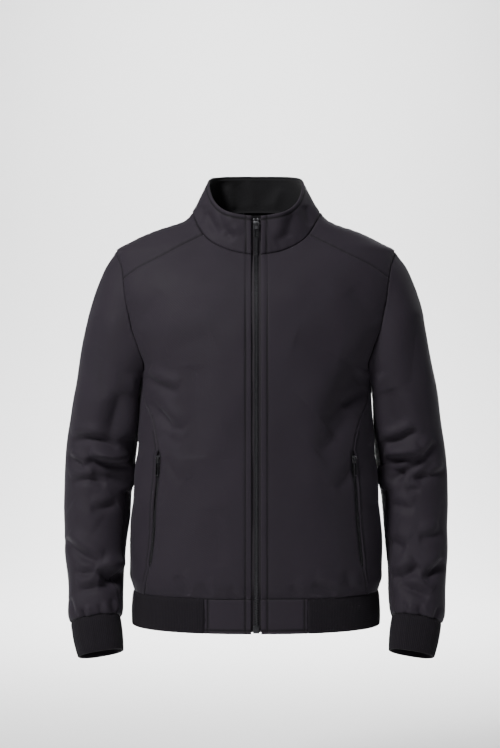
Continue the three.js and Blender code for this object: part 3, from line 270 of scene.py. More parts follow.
class Torso:
    """The body's outer surface."""

    def __init__(self) -> None:
        """Makes the curves of the table's columns."""
        z, half, front, back = np.array(TORSO).T
        self.half, self.front, self.back = Column(z, half), Column(z, front), Column(z, back)

    def depth(self, z: Array, back: Array) -> Array:
        """How far the section at z reaches to the back, or to the front where back is false."""
        return np.where(back, self.back(z), self.front(z))

    def y(self, x: Array, z: Array, back: Array) -> Array:
        """The surface's y at a place seen from the front or the back."""
        part = np.minimum(np.abs(x) / self.half(z), 1)
        reach = (1 - part**RING_POWER) ** (1 / RING_POWER)
        return np.where(back, 1, -1) * self.depth(z, back) * reach

    def points(self, x: Array, z: Array, back: bool) -> Array:
        """The surface's points at places seen from the front or the back."""
        return np.stack([x, self.y(x, z, back), z], -1)

    def x(self, y: Array, z: Array) -> Array:
        """The surface's x on the left side at a y and a z."""
        part = np.minimum(np.abs(y) / self.depth(z, np.asarray(y) > 0), 1)
        return self.half(z) * (1 - part**RING_POWER) ** (1 / RING_POWER)

    def polar(self, angle: Array, z: Array) -> Array:
        """The surface's points in directions counted from the front."""
        depth = self.depth(z, np.cos(angle) < 0)
        a = np.abs(np.sin(angle) / self.half(z)) ** RING_POWER
        b = np.abs(np.cos(angle) / depth) ** RING_POWER
        radius = (a + b) ** (-1 / RING_POWER)
        z = np.broadcast_to(np.asarray(z, float), radius.shape)
        return np.stack([radius * np.sin(angle), -radius * np.cos(angle), z], -1)

    def normal(self, p: Array) -> Array:
        """The outward direction at points of the surface."""
        x, y, z = p[..., 0], p[..., 1], p[..., 2]

        def level(x: Array, y: Array, z: Array) -> Array:
            """How far out a point is, 1 on the surface."""
            depth = self.depth(z, y > 0)
            return (np.abs(x) / self.half(z)) ** RING_POWER + (np.abs(y) / depth) ** RING_POWER

        step = 0.5
        slopes = [
            level(x + step, y, z) - level(x - step, y, z),
            level(x, y + step, z) - level(x, y - step, z),
            level(x, y, z + step) - level(x, y, z - step),
        ]
        return unit(np.stack(slopes, -1))


TORSO_FORM = Torso()


class Edge:
    """A seam as a line of places, read by its share of the length."""

    def __init__(self, places: Array) -> None:
        """Measures the line."""
        self.places = np.asarray(places, float)
        steps = np.linalg.norm(np.diff(self.places, axis=0), axis=1)
        self.sums = np.concatenate([[0], np.cumsum(steps)])
        self.length = float(self.sums[-1])

    def at(self, t: Array) -> Array:
        """The places at shares t of the length."""
        s = np.asarray(t) * self.length
        return read_along(self.sums, self.places, s)

    def back_to_front(self) -> "Edge":
        """The same line read from its other end."""
        return Edge(self.places[::-1])


def joined(*edges: Edge) -> tuple[Edge, list[float]]:
    """One line from several that follow each other.

    Returns:
        The line, and the shares of its length where one part meets the next.
    """
    places = np.concatenate([edges[0].places] + [e.places[1:] for e in edges[1:]])
    line = Edge(places)
    ends = np.cumsum([e.length for e in edges])[:-1]
    return line, [float(s) / line.length for s in ends]


def stations(
    length: float, marks: Sequence[float] = (), lines: Sequence[float] = (), cell: float = CELL
) -> Array:
    """Shares of a length for the lines of a grid, closer beside its two ends.

    Args:
        length: the length in millimetres.
        marks: shares that need a line of points of their own.
        lines: distances from the start, in millimetres, where a row of stitches runs.
        cell: the distance between lines of points elsewhere.

    Returns:
        The shares from 0 to 1.
    """
    near = np.array(EDGE_STEPS) / length
    count = max(int((length - 2 * EDGE_STEPS[-1]) / cell), 2)
    inner = np.linspace(near[-1], 1 - near[-1], count + 1)
    for mark in marks:
        inner[np.argmin(np.abs(inner - mark))] = mark
    stitched = [(d + k) / length for d in lines for k in (-1, 0, 1)]
    shares = np.sort(np.concatenate([[0, 1], near, 1 - near, inner, stitched]))
    keep = np.concatenate([[True], np.diff(shares) > LEAST_STEP / length])
    return shares[keep]


def coons(top: Edge, bottom: Edge, left: Edge, right: Edge, us: Array, vs: Array) -> Array:
    """Places of a grid between four edges.

    Args:
        top: the edge where v is 0, from left to right.
        bottom: the edge where v is 1, from left to right.
        left: the edge where u is 0, from top to bottom.
        right: the edge where u is 1, from top to bottom.
        us: shares of the top and the bottom.
        vs: shares of the left and the right.

    Returns:
        The places as rows from the top down.
    """
    u, v = us[None, :, None], vs[:, None, None]
    upper = (1 - u) * top.at([0])[0] + u * top.at([1])[0]
    lower = (1 - u) * bottom.at([0])[0] + u * bottom.at([1])[0]
    bulges = (1 - v) * (top.at(us)[None] - upper) + v * (bottom.at(us)[None] - lower)
    return bulges + (1 - u) * left.at(vs)[:, None] + u * right.at(vs)[:, None]


def curve_of(table: Sequence[tuple[float, ...]], per_row: int = 24) -> Edge:
    """A seam's table as a smooth line."""
    t = np.linspace(0, len(table) - 1, per_row * (len(table) - 1) + 1)
    return Edge(along_rows(np.array(table), t))


def armhole_places(start: float, end: float, count: int = 160) -> Array:
    """Points of the left armhole seam between two of its table's rows."""
    yz = along_rows(np.array(ARMHOLE), np.linspace(start, end, count), closed=True)
    return np.stack([TORSO_FORM.x(yz[:, 0], yz[:, 1]), yz[:, 0], yz[:, 1]], -1)


def armhole_place(row: float) -> Array:
    """The point of the left armhole seam at a row of its table."""
    return armhole_places(row, row + 0.01, 2)[0]


def armhole_edge(start: float, end: float) -> Edge:
    """The armhole seam as places x, z."""
    return Edge(armhole_places(start, end)[:, [0, 2]])


def shoulder_edge() -> Edge:
    """The shoulder seam from the neck to the tip, along the ridge of the body's surface."""
    z = np.linspace(0, SHOULDER_TIP_Z, 200)
    return Edge(np.stack([TORSO_FORM.half(z), z], -1))


def pocket_edge() -> Edge:
    """The seam between a front and its side panel, from the armhole to the hem."""
    top = armhole_place(ROW_UNDER)
    rows = np.array(((top[0], top[2]),) + POCKET_SEAM)
    x = Column(rows[:, 1], rows[:, 0])
    z = np.linspace(rows[0, 1], HEM_SEAM_Z, 240)
    return Edge(np.stack([x(z), z], -1))


def side_seam() -> Array:
    """Points of the seam between a side panel and the back, from the armhole to the hem."""
    top = armhole_place(ROW_BACK)
    z = np.linspace(top[2], HEM_SEAM_Z, 200)
    y = np.linspace(top[1], SIDE_SEAM_HEM_Y, 200)
    return np.stack([TORSO_FORM.x(y, z), y, z], -1)


def back_neck_edge() -> Edge:
    """The back neckline from the wearer's left to right."""
    x = NECK_HALF * np.cos(np.linspace(0, np.pi, 120))
    return Edge(np.stack([x, BACK_NECK_RISE * (1 - (x / NECK_HALF) ** 2)], -1))


class Face(Enum):
    """The side of the jacket from which a crease is laid out."""

    FRONT = -1
    BACK = 1


@dataclass(frozen=True)
class Crease:
    """A soft crease laid along a bent line, seen from the front or the back.

    Its trough has a softer ridge above it where `lip` is more than 0. A negative depth makes a ridge.
    """

    x1: float
    z1: float
    x2: float
    z2: float
    width: float
    depth: float
    sag: float = 0.0
    lip: float = 0.5
    face: Face = Face.FRONT

    def offset(self, x: Array, z: Array) -> Array:
        """How far the crease moves the cloth out at places seen from the front or the back."""
        a, b = np.array([self.x1, self.z1]), np.array([self.x2, self.z2])
        if b[0] < a[0]:
            a, b = b, a
        along = (b - a) / np.linalg.norm(b - a)
        up = np.array([-along[1], along[0]])
        t = np.linspace(0, 1, 9)[:, None]
        line = a + (b - a) * t - up * self.sag * 4 * t * (1 - t)
        reach = 4 * self.width
        low, high = line.min(0) - reach, line.max(0) + reach
        near = (x > low[0]) & (x < high[0]) & (z > low[1]) & (z < high[1])
        out = np.zeros(x.shape)
        if not near.any():
            return out
        p = np.stack([x[near], z[near]], -1)
        best, signed, share = np.full(len(p), 1e9), np.zeros(len(p)), np.zeros(len(p))
        for k, (q, r) in enumerate(zip(line[:-1], line[1:])):
            step = r - q
            s = np.clip((p - q) @ step / (step @ step), 0, 1)
            away = p - q - s[:, None] * step
            distance = np.linalg.norm(away, axis=1)
            closer = distance < best
            side = np.where(away @ up < 0, -1, 1)
            best = np.where(closer, distance, best)
            signed = np.where(closer, distance * side, signed)
            share = np.where(closer, (k + s) / (len(line) - 1), share)
        taper = np.sqrt(np.clip(4 * share * (1 - share), 0, 1))
        # a round trough with a sharper bottom
        across = signed / self.width
        trough = -0.62 * bell(across, 1) - 0.38 * np.exp(-2.4 * np.sqrt(across**2 + 0.02))
        ridge = self.lip * bell(across - 1.7, 1.2)
        out[near] = self.depth * taper * (trough + ridge)
        return out


@dataclass
class Ripples:
    """Slow unevenness of worn cloth, as a sum of waves in many directions."""

    seed: int
    shortest: float = 45.0
    longest: float = 150.0
    count: int = 26

    def __call__(self, p: Array) -> Array:
        """Values of about -1 to 1 at points."""
        rng = np.random.RandomState(self.seed)
        total = np.zeros(p.shape[:-1])
        for _ in range(self.count):
            way = unit(rng.normal(size=3))
            wave = rng.uniform(self.shortest, self.longest)
            phase = rng.uniform(0, 2 * np.pi)
            total += np.sin(2 * np.pi * (p @ way) / wave + phase) * (wave / self.longest)
        return total / math.sqrt(self.count / 2)


def creases(face: Face, *rows: tuple[float, ...]) -> tuple[Crease, ...]:
    """The creases of one face, from rows of a crease's other fields."""
    return tuple(Crease(*row, face=face) for row in rows)


# Creases seen in the photograph, and some like them on the hidden sides.
# x and z of one end, x and z of the other, width, depth, and where they aren't usual, sag and lip.
TORSO_CREASES = creases(
    Face.FRONT,
    (-184, -256, -192, -372, 14, -5.0, 0, 0),
    (-191, -392, -190, -470, 14, -2.6, 0, 0),
    (184, -256, 192, -374, 14, -5.0, 0, 0),
    (191, -396, 190, -468, 14, -2.6, 0, 0),
    (-176, -266, -122, -290, 8, 4.2, 3, 0.6),
    (-170, -306, -131, -352, 9, 3.2, -3),
    (-158, -322, -112, -350, 10, 3.0, 4, 0.3),
    (-150, -352, -118, -372, 9, 1.6),
    (-141, -392, -118, -432, 8, 1.6),
    (-100, -250, -94, -392, 26, 3.2, 0, 0.2),
    (-62, -470, -58, -560, 20, 1.2, 0, 0.2),
    (-124, -575, -106, -604, 8, 2.2),
    (-84, -585, -70, -606, 7, 1.4),
    (-40, -590, -30, -606, 6, 0.9),
    (172, -262, 108, -342, 24, 6.0, 5, 0.25),
    (150, -322, 96, -388, 18, 3.4, 4, 0.3),
    (176, -286, 140, -312, 9, 3.0, 2),
    (158, -400, 128, -444, 11, 1.8),
    (88, -588, 124, -606, 9, 2.6, -2),
    (54, -590, 70, -606, 7, 1.4),
    (140, -570, 150, -600, 8, 1.5),
    (60, -210, 128, -232, 26, 1.6, 0, 0.2),
    (-70, -200, -140, -228, 24, 1.4, 0, 0.2),
    (150, -128, 190, -182, 18, 1.6, 0, 0.2),
    (-150, -132, -188, -186, 18, 1.5, 0, 0.2),
) + creases(
    Face.BACK,
    (-168, -238, -60, -300, 17, 4.5, 7),
    (168, -234, 70, -310, 18, 4.5, 8),
    (-152, -392, 20, -412, 16, 3.6, 9),
    (152, -448, -28, -440, 17, 3.2, 9),
    (-120, -340, 30, -352, 12, 2.2, 8),
    (-150, -270, -118, -330, 10, 2.4, -4),
    (146, -268, 120, -332, 10, 2.2, 4),
    (-40, -90, -64, -190, 20, 1.8, 0, 0.2),
    (46, -92, 60, -184, 20, 1.6, 0, 0.2),
    (-110, -585, -96, -606, 7, 1.8),
    (-30, -588, -22, -606, 8, 1.6),
    (40, -590, 52, -606, 7, 1.6),
    (120, -584, 132, -606, 8, 1.9),
)
SLEEVE_CREASES = creases(
    Face.FRONT,
    (-196, -262, -204, -368, 12, -4.4, 0, 0),
    (-203, -404, -205, -452, 10, -5.6, 0, 0),
    (196, -262, 204, -370, 12, -4.4, 0, 0),
    (203, -408, 205, -450, 10, -5.6, 0, 0),
    (-264, -384, -216, -392, 12, -2.6, 0, 0),
    (-262, -419, -206, -432, 12, 5.0, 2, 0.2),
    (-246, -581, -208, -586, 14, 5.0, 0, 0.1),
    (-296, -470, -250, -500, 24, -1.8, 0, 0),
    (204, -412, 236, -424, 13, 5.0, 0, 0.1),
    (254, -430, 286, -404, 10, 3.6, 0, 0.2),
    (262, -581, 300, -567, 12, 4.2, 0, 0.2),
    (226, -480, 290, -500, 26, -1.8, 0, 0),
    (-270, -398, -206, -410, 8.5, 6.5, 2, 0.8),
    (-293, -370, -222, -380, 8, 4.2, -9, 0.5),
    (-302, -396, -272, -413, 7, 3.6, 0, 0.6),
    (-294, -437, -240, -440, 7, 3.2, -8, 0.5),
    (-262, -477, -222, -468, 8, 2.8, 3),
    (-308, -526, -248, -561, 9, 4.2, 3, 0.6),
    (-288, -573, -252, -575, 7, 3.0, 3),
    (-252, -574, -206, -588, 11, 6.5, 4, 0.6),
    (-280, -604, -220, -597, 7, 3.4, -4, 0.6),
    (-274, -628, -268, -650, 5, 2.4),
    (-246, -622, -240, -646, 5, 1.8),
    (-296, -616, -286, -642, 6, 2.0),
    (-228, -616, -222, -640, 5, 1.6),
    (-262, -170, -240, -300, 20, 2.4, 0, 0.3),
    (-214, -290, -236, -370, 14, 3.2, 0, 0.3),
    (209, -373, 256, -350, 8, 4.2, 3, 0.6),
    (206, -401, 264, -392, 8.5, 6.0, 3, 0.8),
    (214, -432, 288, -370, 8, 4.4, 7, 0.6),
    (242, -431, 304, -417, 7, 3.4, 3, 0.6),
    (240, -446, 262, -446, 6, 2.0),
    (216, -470, 250, -478, 8, 2.2),
    (259, -521, 296, -514, 8, 3.0, 2),
    (214, -528, 236, -540, 10, 3.0, 0, 0.3),
    (216, -586, 258, -564, 9, 4.8, 4, 0.6),
    (226, -596, 272, -614, 8, 3.8, -3, 0.6),
    (300, -560, 268, -590, 8, 2.6),
    (256, -624, 260, -646, 5, 2.2),
    (289, -628, 281, -650, 5, 2.0),
    (232, -620, 236, -644, 5, 1.6),
    (262, -168, 242, -296, 20, 2.4, 0, 0.3),
    (214, -286, 238, -362, 14, 3.2, 0, 0.3),
) + creases(
    Face.BACK,
    (-300, -385, -222, -402, 10, 5.2, 6, 0.6),
    (-298, -432, -230, -426, 9, 3.4, -5),
    (-296, -560, -226, -578, 10, 4.2, 5),
    (-290, -604, -236, -600, 7, 2.8),
    (-270, -250, -226, -330, 16, 3.0, 0, 0.3),
    (-262, -628, -256, -650, 5, 2.0),
    (300, -400, 224, -396, 10, 5.0, 7, 0.6),
    (298, -440, 236, -434, 9, 3.2, -4),
    (294, -566, 228, -572, 10, 4.0, 5),
    (288, -600, 240, -608, 7, 2.6),
    (272, -252, 228, -326, 16, 3.0, 0, 0.3),
    (258, -626, 266, -650, 5, 2.2),
)
COLLAR_CREASES = creases(
    Face.FRONT,
    (-78, -2, -58, -40, 9, 2.6, 3, 0.5),
    (-60, 2, -44, -44, 8, 1.6, 2),
    (-46, -36, -36, -50, 8, 1.8, 0, 0.3),
    (30, -52, 52, -38, 9, 1.0, 2, 0.4),
    (62, -6, 52, -46, 9, 1.1, -3),
    (80, 8, 88, -24, 8, 1.4),
    (-84, 8, -92, -22, 8, 1.5),
) + creases(
    Face.BACK,
    (-50, 48, -36, 12, 10, 1.8),
    (44, 46, 30, 14, 10, 1.6),
    (-12, 60, 0, 16, 9, 1.0),
)


def crease_offset(creases: tuple[Crease, ...], points: Array, facing: Array) -> Array:
    """How far out the creases move points.

    Args:
        creases: the creases.
        points: places in millimetres.
        facing: the y of each point's outward direction, which says what side it is seen from.

    Returns:
        The distances in millimetres.
    """
    total = np.zeros(points.shape[:-1])
    x, z = points[..., 0], points[..., 2]
    for face in Face:
        share = smoothstep(facing * face.value, -0.2, 0.42)
        for crease in creases:
            if crease.face is face:
                total += crease.offset(x, z) * share
    return total


def grid_normals(points: Array, outward: Array) -> Array:
    """The normals of a grid of points, on the side of the ways out that are given."""
    down = np.gradient(points, axis=0)
    across = np.gradient(points, axis=1)
    normals = unit(np.cross(down, across))
    flip = np.sum(normals * outward, -1, keepdims=True) < 0
    return np.where(flip, -normals, normals)


def lengths_along(points: Array, axis: int) -> Array:
    """Distances along the lines of a grid from its first row or column."""
    steps = np.linalg.norm(np.diff(points, axis=axis), axis=-1)
    sums = np.cumsum(steps, axis=axis)
    first = np.zeros_like(np.take(sums, [0], axis=axis))
    return np.concatenate([first, sums], axis=axis)


# The sockets of a Mix node for colours, by number since their names aren't unique
MIX_A, MIX_B, MIX_RESULT = 6, 7, 2


class Value:
    """A shader's number, on which Python's operators add Math nodes."""

    def __init__(self, sheet: "NodeSheet", socket: Any) -> None:
        """Wraps an output socket."""
        self.sheet, self.socket = sheet, socket

    def math(self, operation: str, *others: Any) -> "Value":
        """The result of a Math node with this value first."""
        inputs = dict(enumerate((self, *others)))
        return self.sheet.add("ShaderNodeMath", {"operation": operation}, inputs)

    def __add__(self, other: Any) -> "Value":
        """The sum."""
        return self.math("ADD", other)

    def __mul__(self, other: Any) -> "Value":
        """The product."""
        return self.math("MULTIPLY", other)

    def __sub__(self, other: Any) -> "Value":
        """The difference."""
        return self.math("SUBTRACT", other)


class NodeSheet:
    """The nodes of one material."""

    def __init__(self, name: str) -> None:
        """Makes a material with its shader and output only."""
        self.material = bpy.data.materials.new(name)
        self.material.use_nodes = True
        self.tree = self.material.node_tree
        self.tree.nodes.clear()
        output = self.tree.nodes.new("ShaderNodeOutputMaterial")
        self.shader = self.tree.nodes.new("ShaderNodeBsdfPrincipled")
        self.tree.links.new(self.shader.outputs[0], output.inputs["Surface"])

    def put(self, socket: Any, value: Any) -> None:
        """Links a value to a socket, or sets it there."""
        if isinstance(value, Value):
            self.tree.links.new(value.socket, socket)
        else:
            socket.default_value = value

    def add(self, kind: str, settings: dict, inputs: dict, output: Any = 0) -> Value:
        """Adds a node.

        Args:
            kind: the node's type.
            settings: its properties.
            inputs: values or links of its sockets.
            output: the socket that is returned.

        Returns:
            The output.
        """
        node = self.tree.nodes.new(kind)
        for name, value in settings.items():
            setattr(node, name, value)
        for name, value in inputs.items():
            self.put(node.inputs[name], value)
        return Value(self, node.outputs[output])

    def attribute(self, name: str) -> Value:
        """The number that a piece's points hold under a name."""
        return self.add("ShaderNodeAttribute", {"attribute_name": name}, {}, "Fac")

    def mapped(self, turn: float = 0.0, scale: tuple = (1, 1, 1), uv: bool = True) -> Value:
        """The piece's own UV, in metres, or its Object coordinates, scaled and turned."""
        if uv:
            place = self.add("ShaderNodeUVMap", {"uv_map": "cut"}, {})
        else:
            place = self.add("ShaderNodeTexCoord", {}, {}, "Object")
        inputs = {"Vector": place, "Scale": scale, "Rotation": (0, 0, turn)}
        return self.add("ShaderNodeMapping", {}, inputs)

    def noise(self, place: Value, scale: float, detail: float = 2.0) -> Value:
        """A noise texture's value."""
        inputs = {"Vector": place, "Scale": scale, "Detail": detail}
        return self.add("ShaderNodeTexNoise", {}, inputs, "Fac")

    def waves(self, place: Value, scale: float, way: str = "X", distortion: float = 0.0) -> Value:
        """A wave texture's value, in bands across one direction."""
        settings = {"wave_type": "BANDS", "bands_direction": way}
        inputs = {"Vector": place, "Scale": scale, "Distortion": distortion, "Detail": 1.0}
        return self.add("ShaderNodeTexWave", settings, inputs, "Fac")

    def mixed(self, share: Value, a: Any, b: tuple) -> Value:
        """A colour between two."""
        first = a if isinstance(a, Value) else (*a, 1)
        inputs = {"Factor": share, MIX_A: first, MIX_B: (*b, 1)}
        return self.add("ShaderNodeMix", {"data_type": "RGBA"}, inputs, MIX_RESULT)

    def bump(self, height: Value, distance: float) -> None:
        """Raises the surface by a height times a distance in metres."""
        inputs = {"Height": height, "Distance": distance, "Strength": 1.0}
        self.put(self.shader.inputs["Normal"], self.add("ShaderNodeBump", {}, inputs))

    def paint(self, **sockets: Any) -> None:
        """Sets or links the shader's sockets, named with _ for a space."""
        for name, value in sockets.items():
            self.put(self.shader.inputs[name.replace("_", " ")], value)


@dataclass(frozen=True)
class Finish:
    """A finish whose colour runs from dark to light. Each kind lays its own textures."""

    name: str
    dark: tuple
    light: tuple

    def lay(self, sheet: NodeSheet) -> None:
        """Sets the shader's colour, roughness and relief."""
        raise NotImplementedError

    def material(self) -> Material:
        """The finish as a material."""
        sheet = NodeSheet(self.name)
        self.lay(sheet)
        return sheet.material


@dataclass(frozen=True)
class Softshell(Finish):
    """The charcoal woven face, matte, with a little of the light caught by its fibres."""

    name: str = "softshell_face"
    dark: tuple = (0.0164, 0.0124, 0.0181)
    light: tuple = (0.0244, 0.0186, 0.0269)
    # painted shadow: the near-black that seams and stitch channels are darkened towards, in place of the
    # shade in their grooves
    seam_painted_shadow: tuple = (0.0030, 0.0025, 0.0033)  # in seams and along rows of stitches
    worn: float = 0.12
    weave: float = 207.0064  # scale of its waves, for about 660 threads in a metre
    twill: float = 138.2979
    twill_turn: float = 38.0

    def lay(self, sheet: NodeSheet) -> None:
        """Sets the shader's colour, roughness and relief."""
        place = sheet.mapped()
        slant = sheet.mapped(turn=math.radians(self.twill_turn))
        warp = sheet.waves(place, self.weave, "X", 0.6)
        weft = sheet.waves(place, self.weave, "Y", 0.6)
        twill = sheet.waves(slant, self.twill, "X", 0.8)
        cloud = sheet.noise(place, 22, 3)
        fibre = sheet.noise(place, 900, 2)
        edge = sheet.attribute("edge")
        # line: how much painted shade a point takes in a seam's groove or a stitch channel
        line = sheet.attribute("line")
        share = cloud * 0.55 + fibre * 0.35 + edge * self.worn - 0.02
        plain = sheet.mixed(share, self.dark, self.light)
        # the colour is darkened towards the painted shadow in seams and stitch channels
        sheet.paint(
            Base_Color=sheet.mixed(line, plain, self.seam_painted_shadow),
            Roughness=cloud * 0.16 + fibre * 0.10 + 0.60,
            Sheen_Weight=0.05,
            Sheen_Roughness=0.5,
            Sheen_Tint=(0.85, 0.82, 0.92, 1),
            Specular_IOR_Level=0.22,
        )
        sheet.bump(warp * weft * 0.5 + twill * 0.3 + fibre * 0.7, 0.00010)


@dataclass(frozen=True)
class Fleece(Finish):
    """The black brushed inner face."""

    name: str = "fleece_inside"
    dark: tuple = (0.0045, 0.0044, 0.0050)
    light: tuple = (0.0115, 0.0110, 0.0125)

    def lay(self, sheet: NodeSheet) -> None:
        """Sets the shader's colour, roughness and relief."""
        place = sheet.mapped()
        tufts = sheet.noise(place, 320, 4)
        cloud = sheet.noise(place, 40, 2)
        sheet.paint(
            Base_Color=sheet.mixed(tufts * 0.7 + cloud * 0.3, self.dark, self.light),
            Roughness=tufts * 0.15 + 0.82,
            Sheen_Weight=0.08,
            Sheen_Roughness=0.6,
            Specular_IOR_Level=0.15,
        )
        sheet.bump(tufts, 0.0007)


@dataclass(frozen=True)
class RibKnit(Finish):
    """Rib knit whose ribs are in the mesh; the finish adds the rows of loops, and paints shade into the
    valleys between the ribs, lighter on the crests.
    """

    name: str = "rib_knit_face"
    dark: tuple = (0.0036, 0.0026, 0.0041)
    light: tuple = (0.0114, 0.0087, 0.0129)
    rows: float = 98.7261  # scale of its waves, for about 310 rows of loops in a metre

    def lay(self, sheet: NodeSheet) -> None:
        """Sets the shader's colour, roughness and relief."""
        place = sheet.mapped()
        loops = sheet.waves(place, self.rows, "Y", 1.2)
        fuzz = sheet.noise(place, 700, 3)
        cloud = sheet.noise(place, 30, 2)
        crest = sheet.attribute("crest")
        # crest makes the ribs' crests lighter and their valleys darker: painted shade
        share = crest * 0.62 + loops * 0.06 + fuzz * 0.2 + cloud * 0.2 - 0.05
        sheet.paint(
            Base_Color=sheet.mixed(share, self.dark, self.light),
            Roughness=fuzz * 0.12 + 0.80,
            Sheen_Weight=0.05,
            Sheen_Roughness=0.5,
            Specular_IOR_Level=0.2,
        )
        sheet.bump(loops * 0.35 + fuzz * 0.4, 0.00018)


@dataclass(frozen=True)
class WovenTape(Finish):
    """A zip's tape in a fine herringbone."""

    name: str = "zip_tape_weave"
    dark: tuple = (0.0150, 0.0122, 0.0158)
    light: tuple = (0.0310, 0.0262, 0.0322)

    def lay(self, sheet: NodeSheet) -> None:
        """Sets the shader's colour, roughness and relief."""
        left = sheet.waves(sheet.mapped(turn=math.radians(40)), 190, "X", 0.3)
        right = sheet.waves(sheet.mapped(turn=math.radians(-40)), 190, "X", 0.3)
        fuzz = sheet.noise(sheet.mapped(), 1200, 2)
        sheet.paint(
            Base_Color=sheet.mixed(left * right * 0.6 + fuzz * 0.3, self.dark, self.light),
            Roughness=fuzz * 0.15 + 0.62,
            Sheen_Weight=0.03,
            Specular_IOR_Level=0.25,
        )
        sheet.bump(left * right + fuzz * 0.3, 0.00018)


@dataclass(frozen=True)
class Hard(Finish):
    """Metal or moulded teeth: a satin surface with fine scuffs."""

    metal: float
    roughness: float
    scuffs: float = 0.00002

    def lay(self, sheet: NodeSheet) -> None:
        """Sets the shader's colour, roughness and relief."""
        place = sheet.mapped(uv=False)
        brushed = sheet.noise(sheet.mapped(scale=(1, 1, 8), uv=False), 900, 3)
        spots = sheet.noise(place, 260, 3)
        sheet.paint(
            Base_Color=sheet.mixed(spots * 0.7 + brushed * 0.3, self.dark, self.light),
            Roughness=brushed * 0.18 + spots * 0.1 + (self.roughness - 0.12),
            Metallic=self.metal,
        )
        sheet.bump(brushed * 0.5 + spots * 0.5, self.scuffs)


@dataclass(frozen=True)
class Thread(Finish):
    """Twisted sewing thread, darker than the cloth: its colour is partly painted shade of the stitch
    channels.
    """

    name: str = "sewing_thread"
    # darker than the cloth, so that part of the stitch channels' shade is painted on the thread
    dark: tuple = (0.0028, 0.0022, 0.0030)
    light: tuple = (0.0090, 0.0073, 0.0096)

    def lay(self, sheet: NodeSheet) -> None:
        """Sets the shader's colour, roughness and relief."""
        fine = sheet.noise(sheet.mapped(uv=False), 2400, 2)
        twist = sheet.waves(sheet.mapped(turn=0.6, uv=False), 420, "DIAGONAL", 0.2)
        sheet.paint(
            Base_Color=sheet.mixed(twist * 0.5 + fine * 0.4, self.dark, self.light),
            Roughness=fine * 0.1 + 0.78,
            Specular_IOR_Level=0.15,
        )
        sheet.bump(twist * 0.7 + fine * 0.3, 0.00006)


GUNMETAL = Hard("gunmetal", (0.070, 0.070, 0.075), (0.240, 0.240, 0.250), 1.0, 0.34)
DARK_METAL = Hard("pull_metal", (0.020, 0.020, 0.022), (0.085, 0.085, 0.090), 0.9, 0.36)
TEETH = Hard("zip_teeth", (0.024, 0.024, 0.027), (0.105, 0.105, 0.112), 0.8, 0.38)


def points_of(obj: Piece) -> Array:
    """An object's points, a row each."""
    values = np.empty(len(obj.data.vertices) * 3, np.float32)
    obj.data.vertices.foreach_get("co", values)
    return values.reshape(-1, 3)


def move_points(obj: Piece, points: Array) -> None:
    """Puts an object's points in new places."""
    obj.data.vertices.foreach_set("co", points.astype(np.float32).ravel())


@contextmanager
def editing() -> Iterator[None]:
    """Holds the active object in edit mode, with all of its mesh selected at first."""
    bpy.ops.object.mode_set(mode="EDIT")
    bpy.ops.mesh.select_all(action="SELECT")
    yield
    bpy.ops.object.mode_set(mode="OBJECT")


def only(obj: Piece) -> None:
    """Makes an object the one that is selected and active."""
    bpy.ops.object.select_all(action="DESELECT")
    obj.select_set(True)
    bpy.context.view_layer.objects.active = obj


def smooth_by(obj: Piece, degrees: float) -> None:
    """Shades an object smooth, but for edges sharper than an angle."""
    only(obj)
    bpy.ops.object.shade_smooth_by_angle(angle=math.radians(degrees))


def block_grid(name: str, rows: int, cols: int, tube: bool) -> Piece:
    """A flat grid extruded into a thin block, ready to take a piece of cloth's shape.

    Args:
        name: the object's name.
        rows: how many rows of points it has.
        cols: how many columns.
        tube: whether its two ends will meet, so that no walls are left there.

    Returns:
        The object.
    """
    bpy.ops.object.select_all(action="DESELECT")
    bpy.ops.mesh.primitive_grid_add(x_subdivisions=cols - 1, y_subdivisions=rows - 1, size=2)
    obj = bpy.context.object
    obj.name = obj.data.name = name
    with editing():
        bpy.ops.mesh.extrude_region_move(TRANSFORM_OT_translate={"value": (0, 0, -1)})
        bpy.ops.mesh.select_all(action="DESELECT")
    if tube:
        ends = [abs(face.normal.x) > 0.9 for face in obj.data.polygons]
        obj.data.polygons.foreach_set("select", ends)
        bpy.ops.object.mode_set(mode="EDIT")
        bpy.ops.mesh.select_mode(type="FACE")
        bpy.ops.mesh.delete(type="ONLY_FACE")
        bpy.ops.object.mode_set(mode="OBJECT")
    return obj


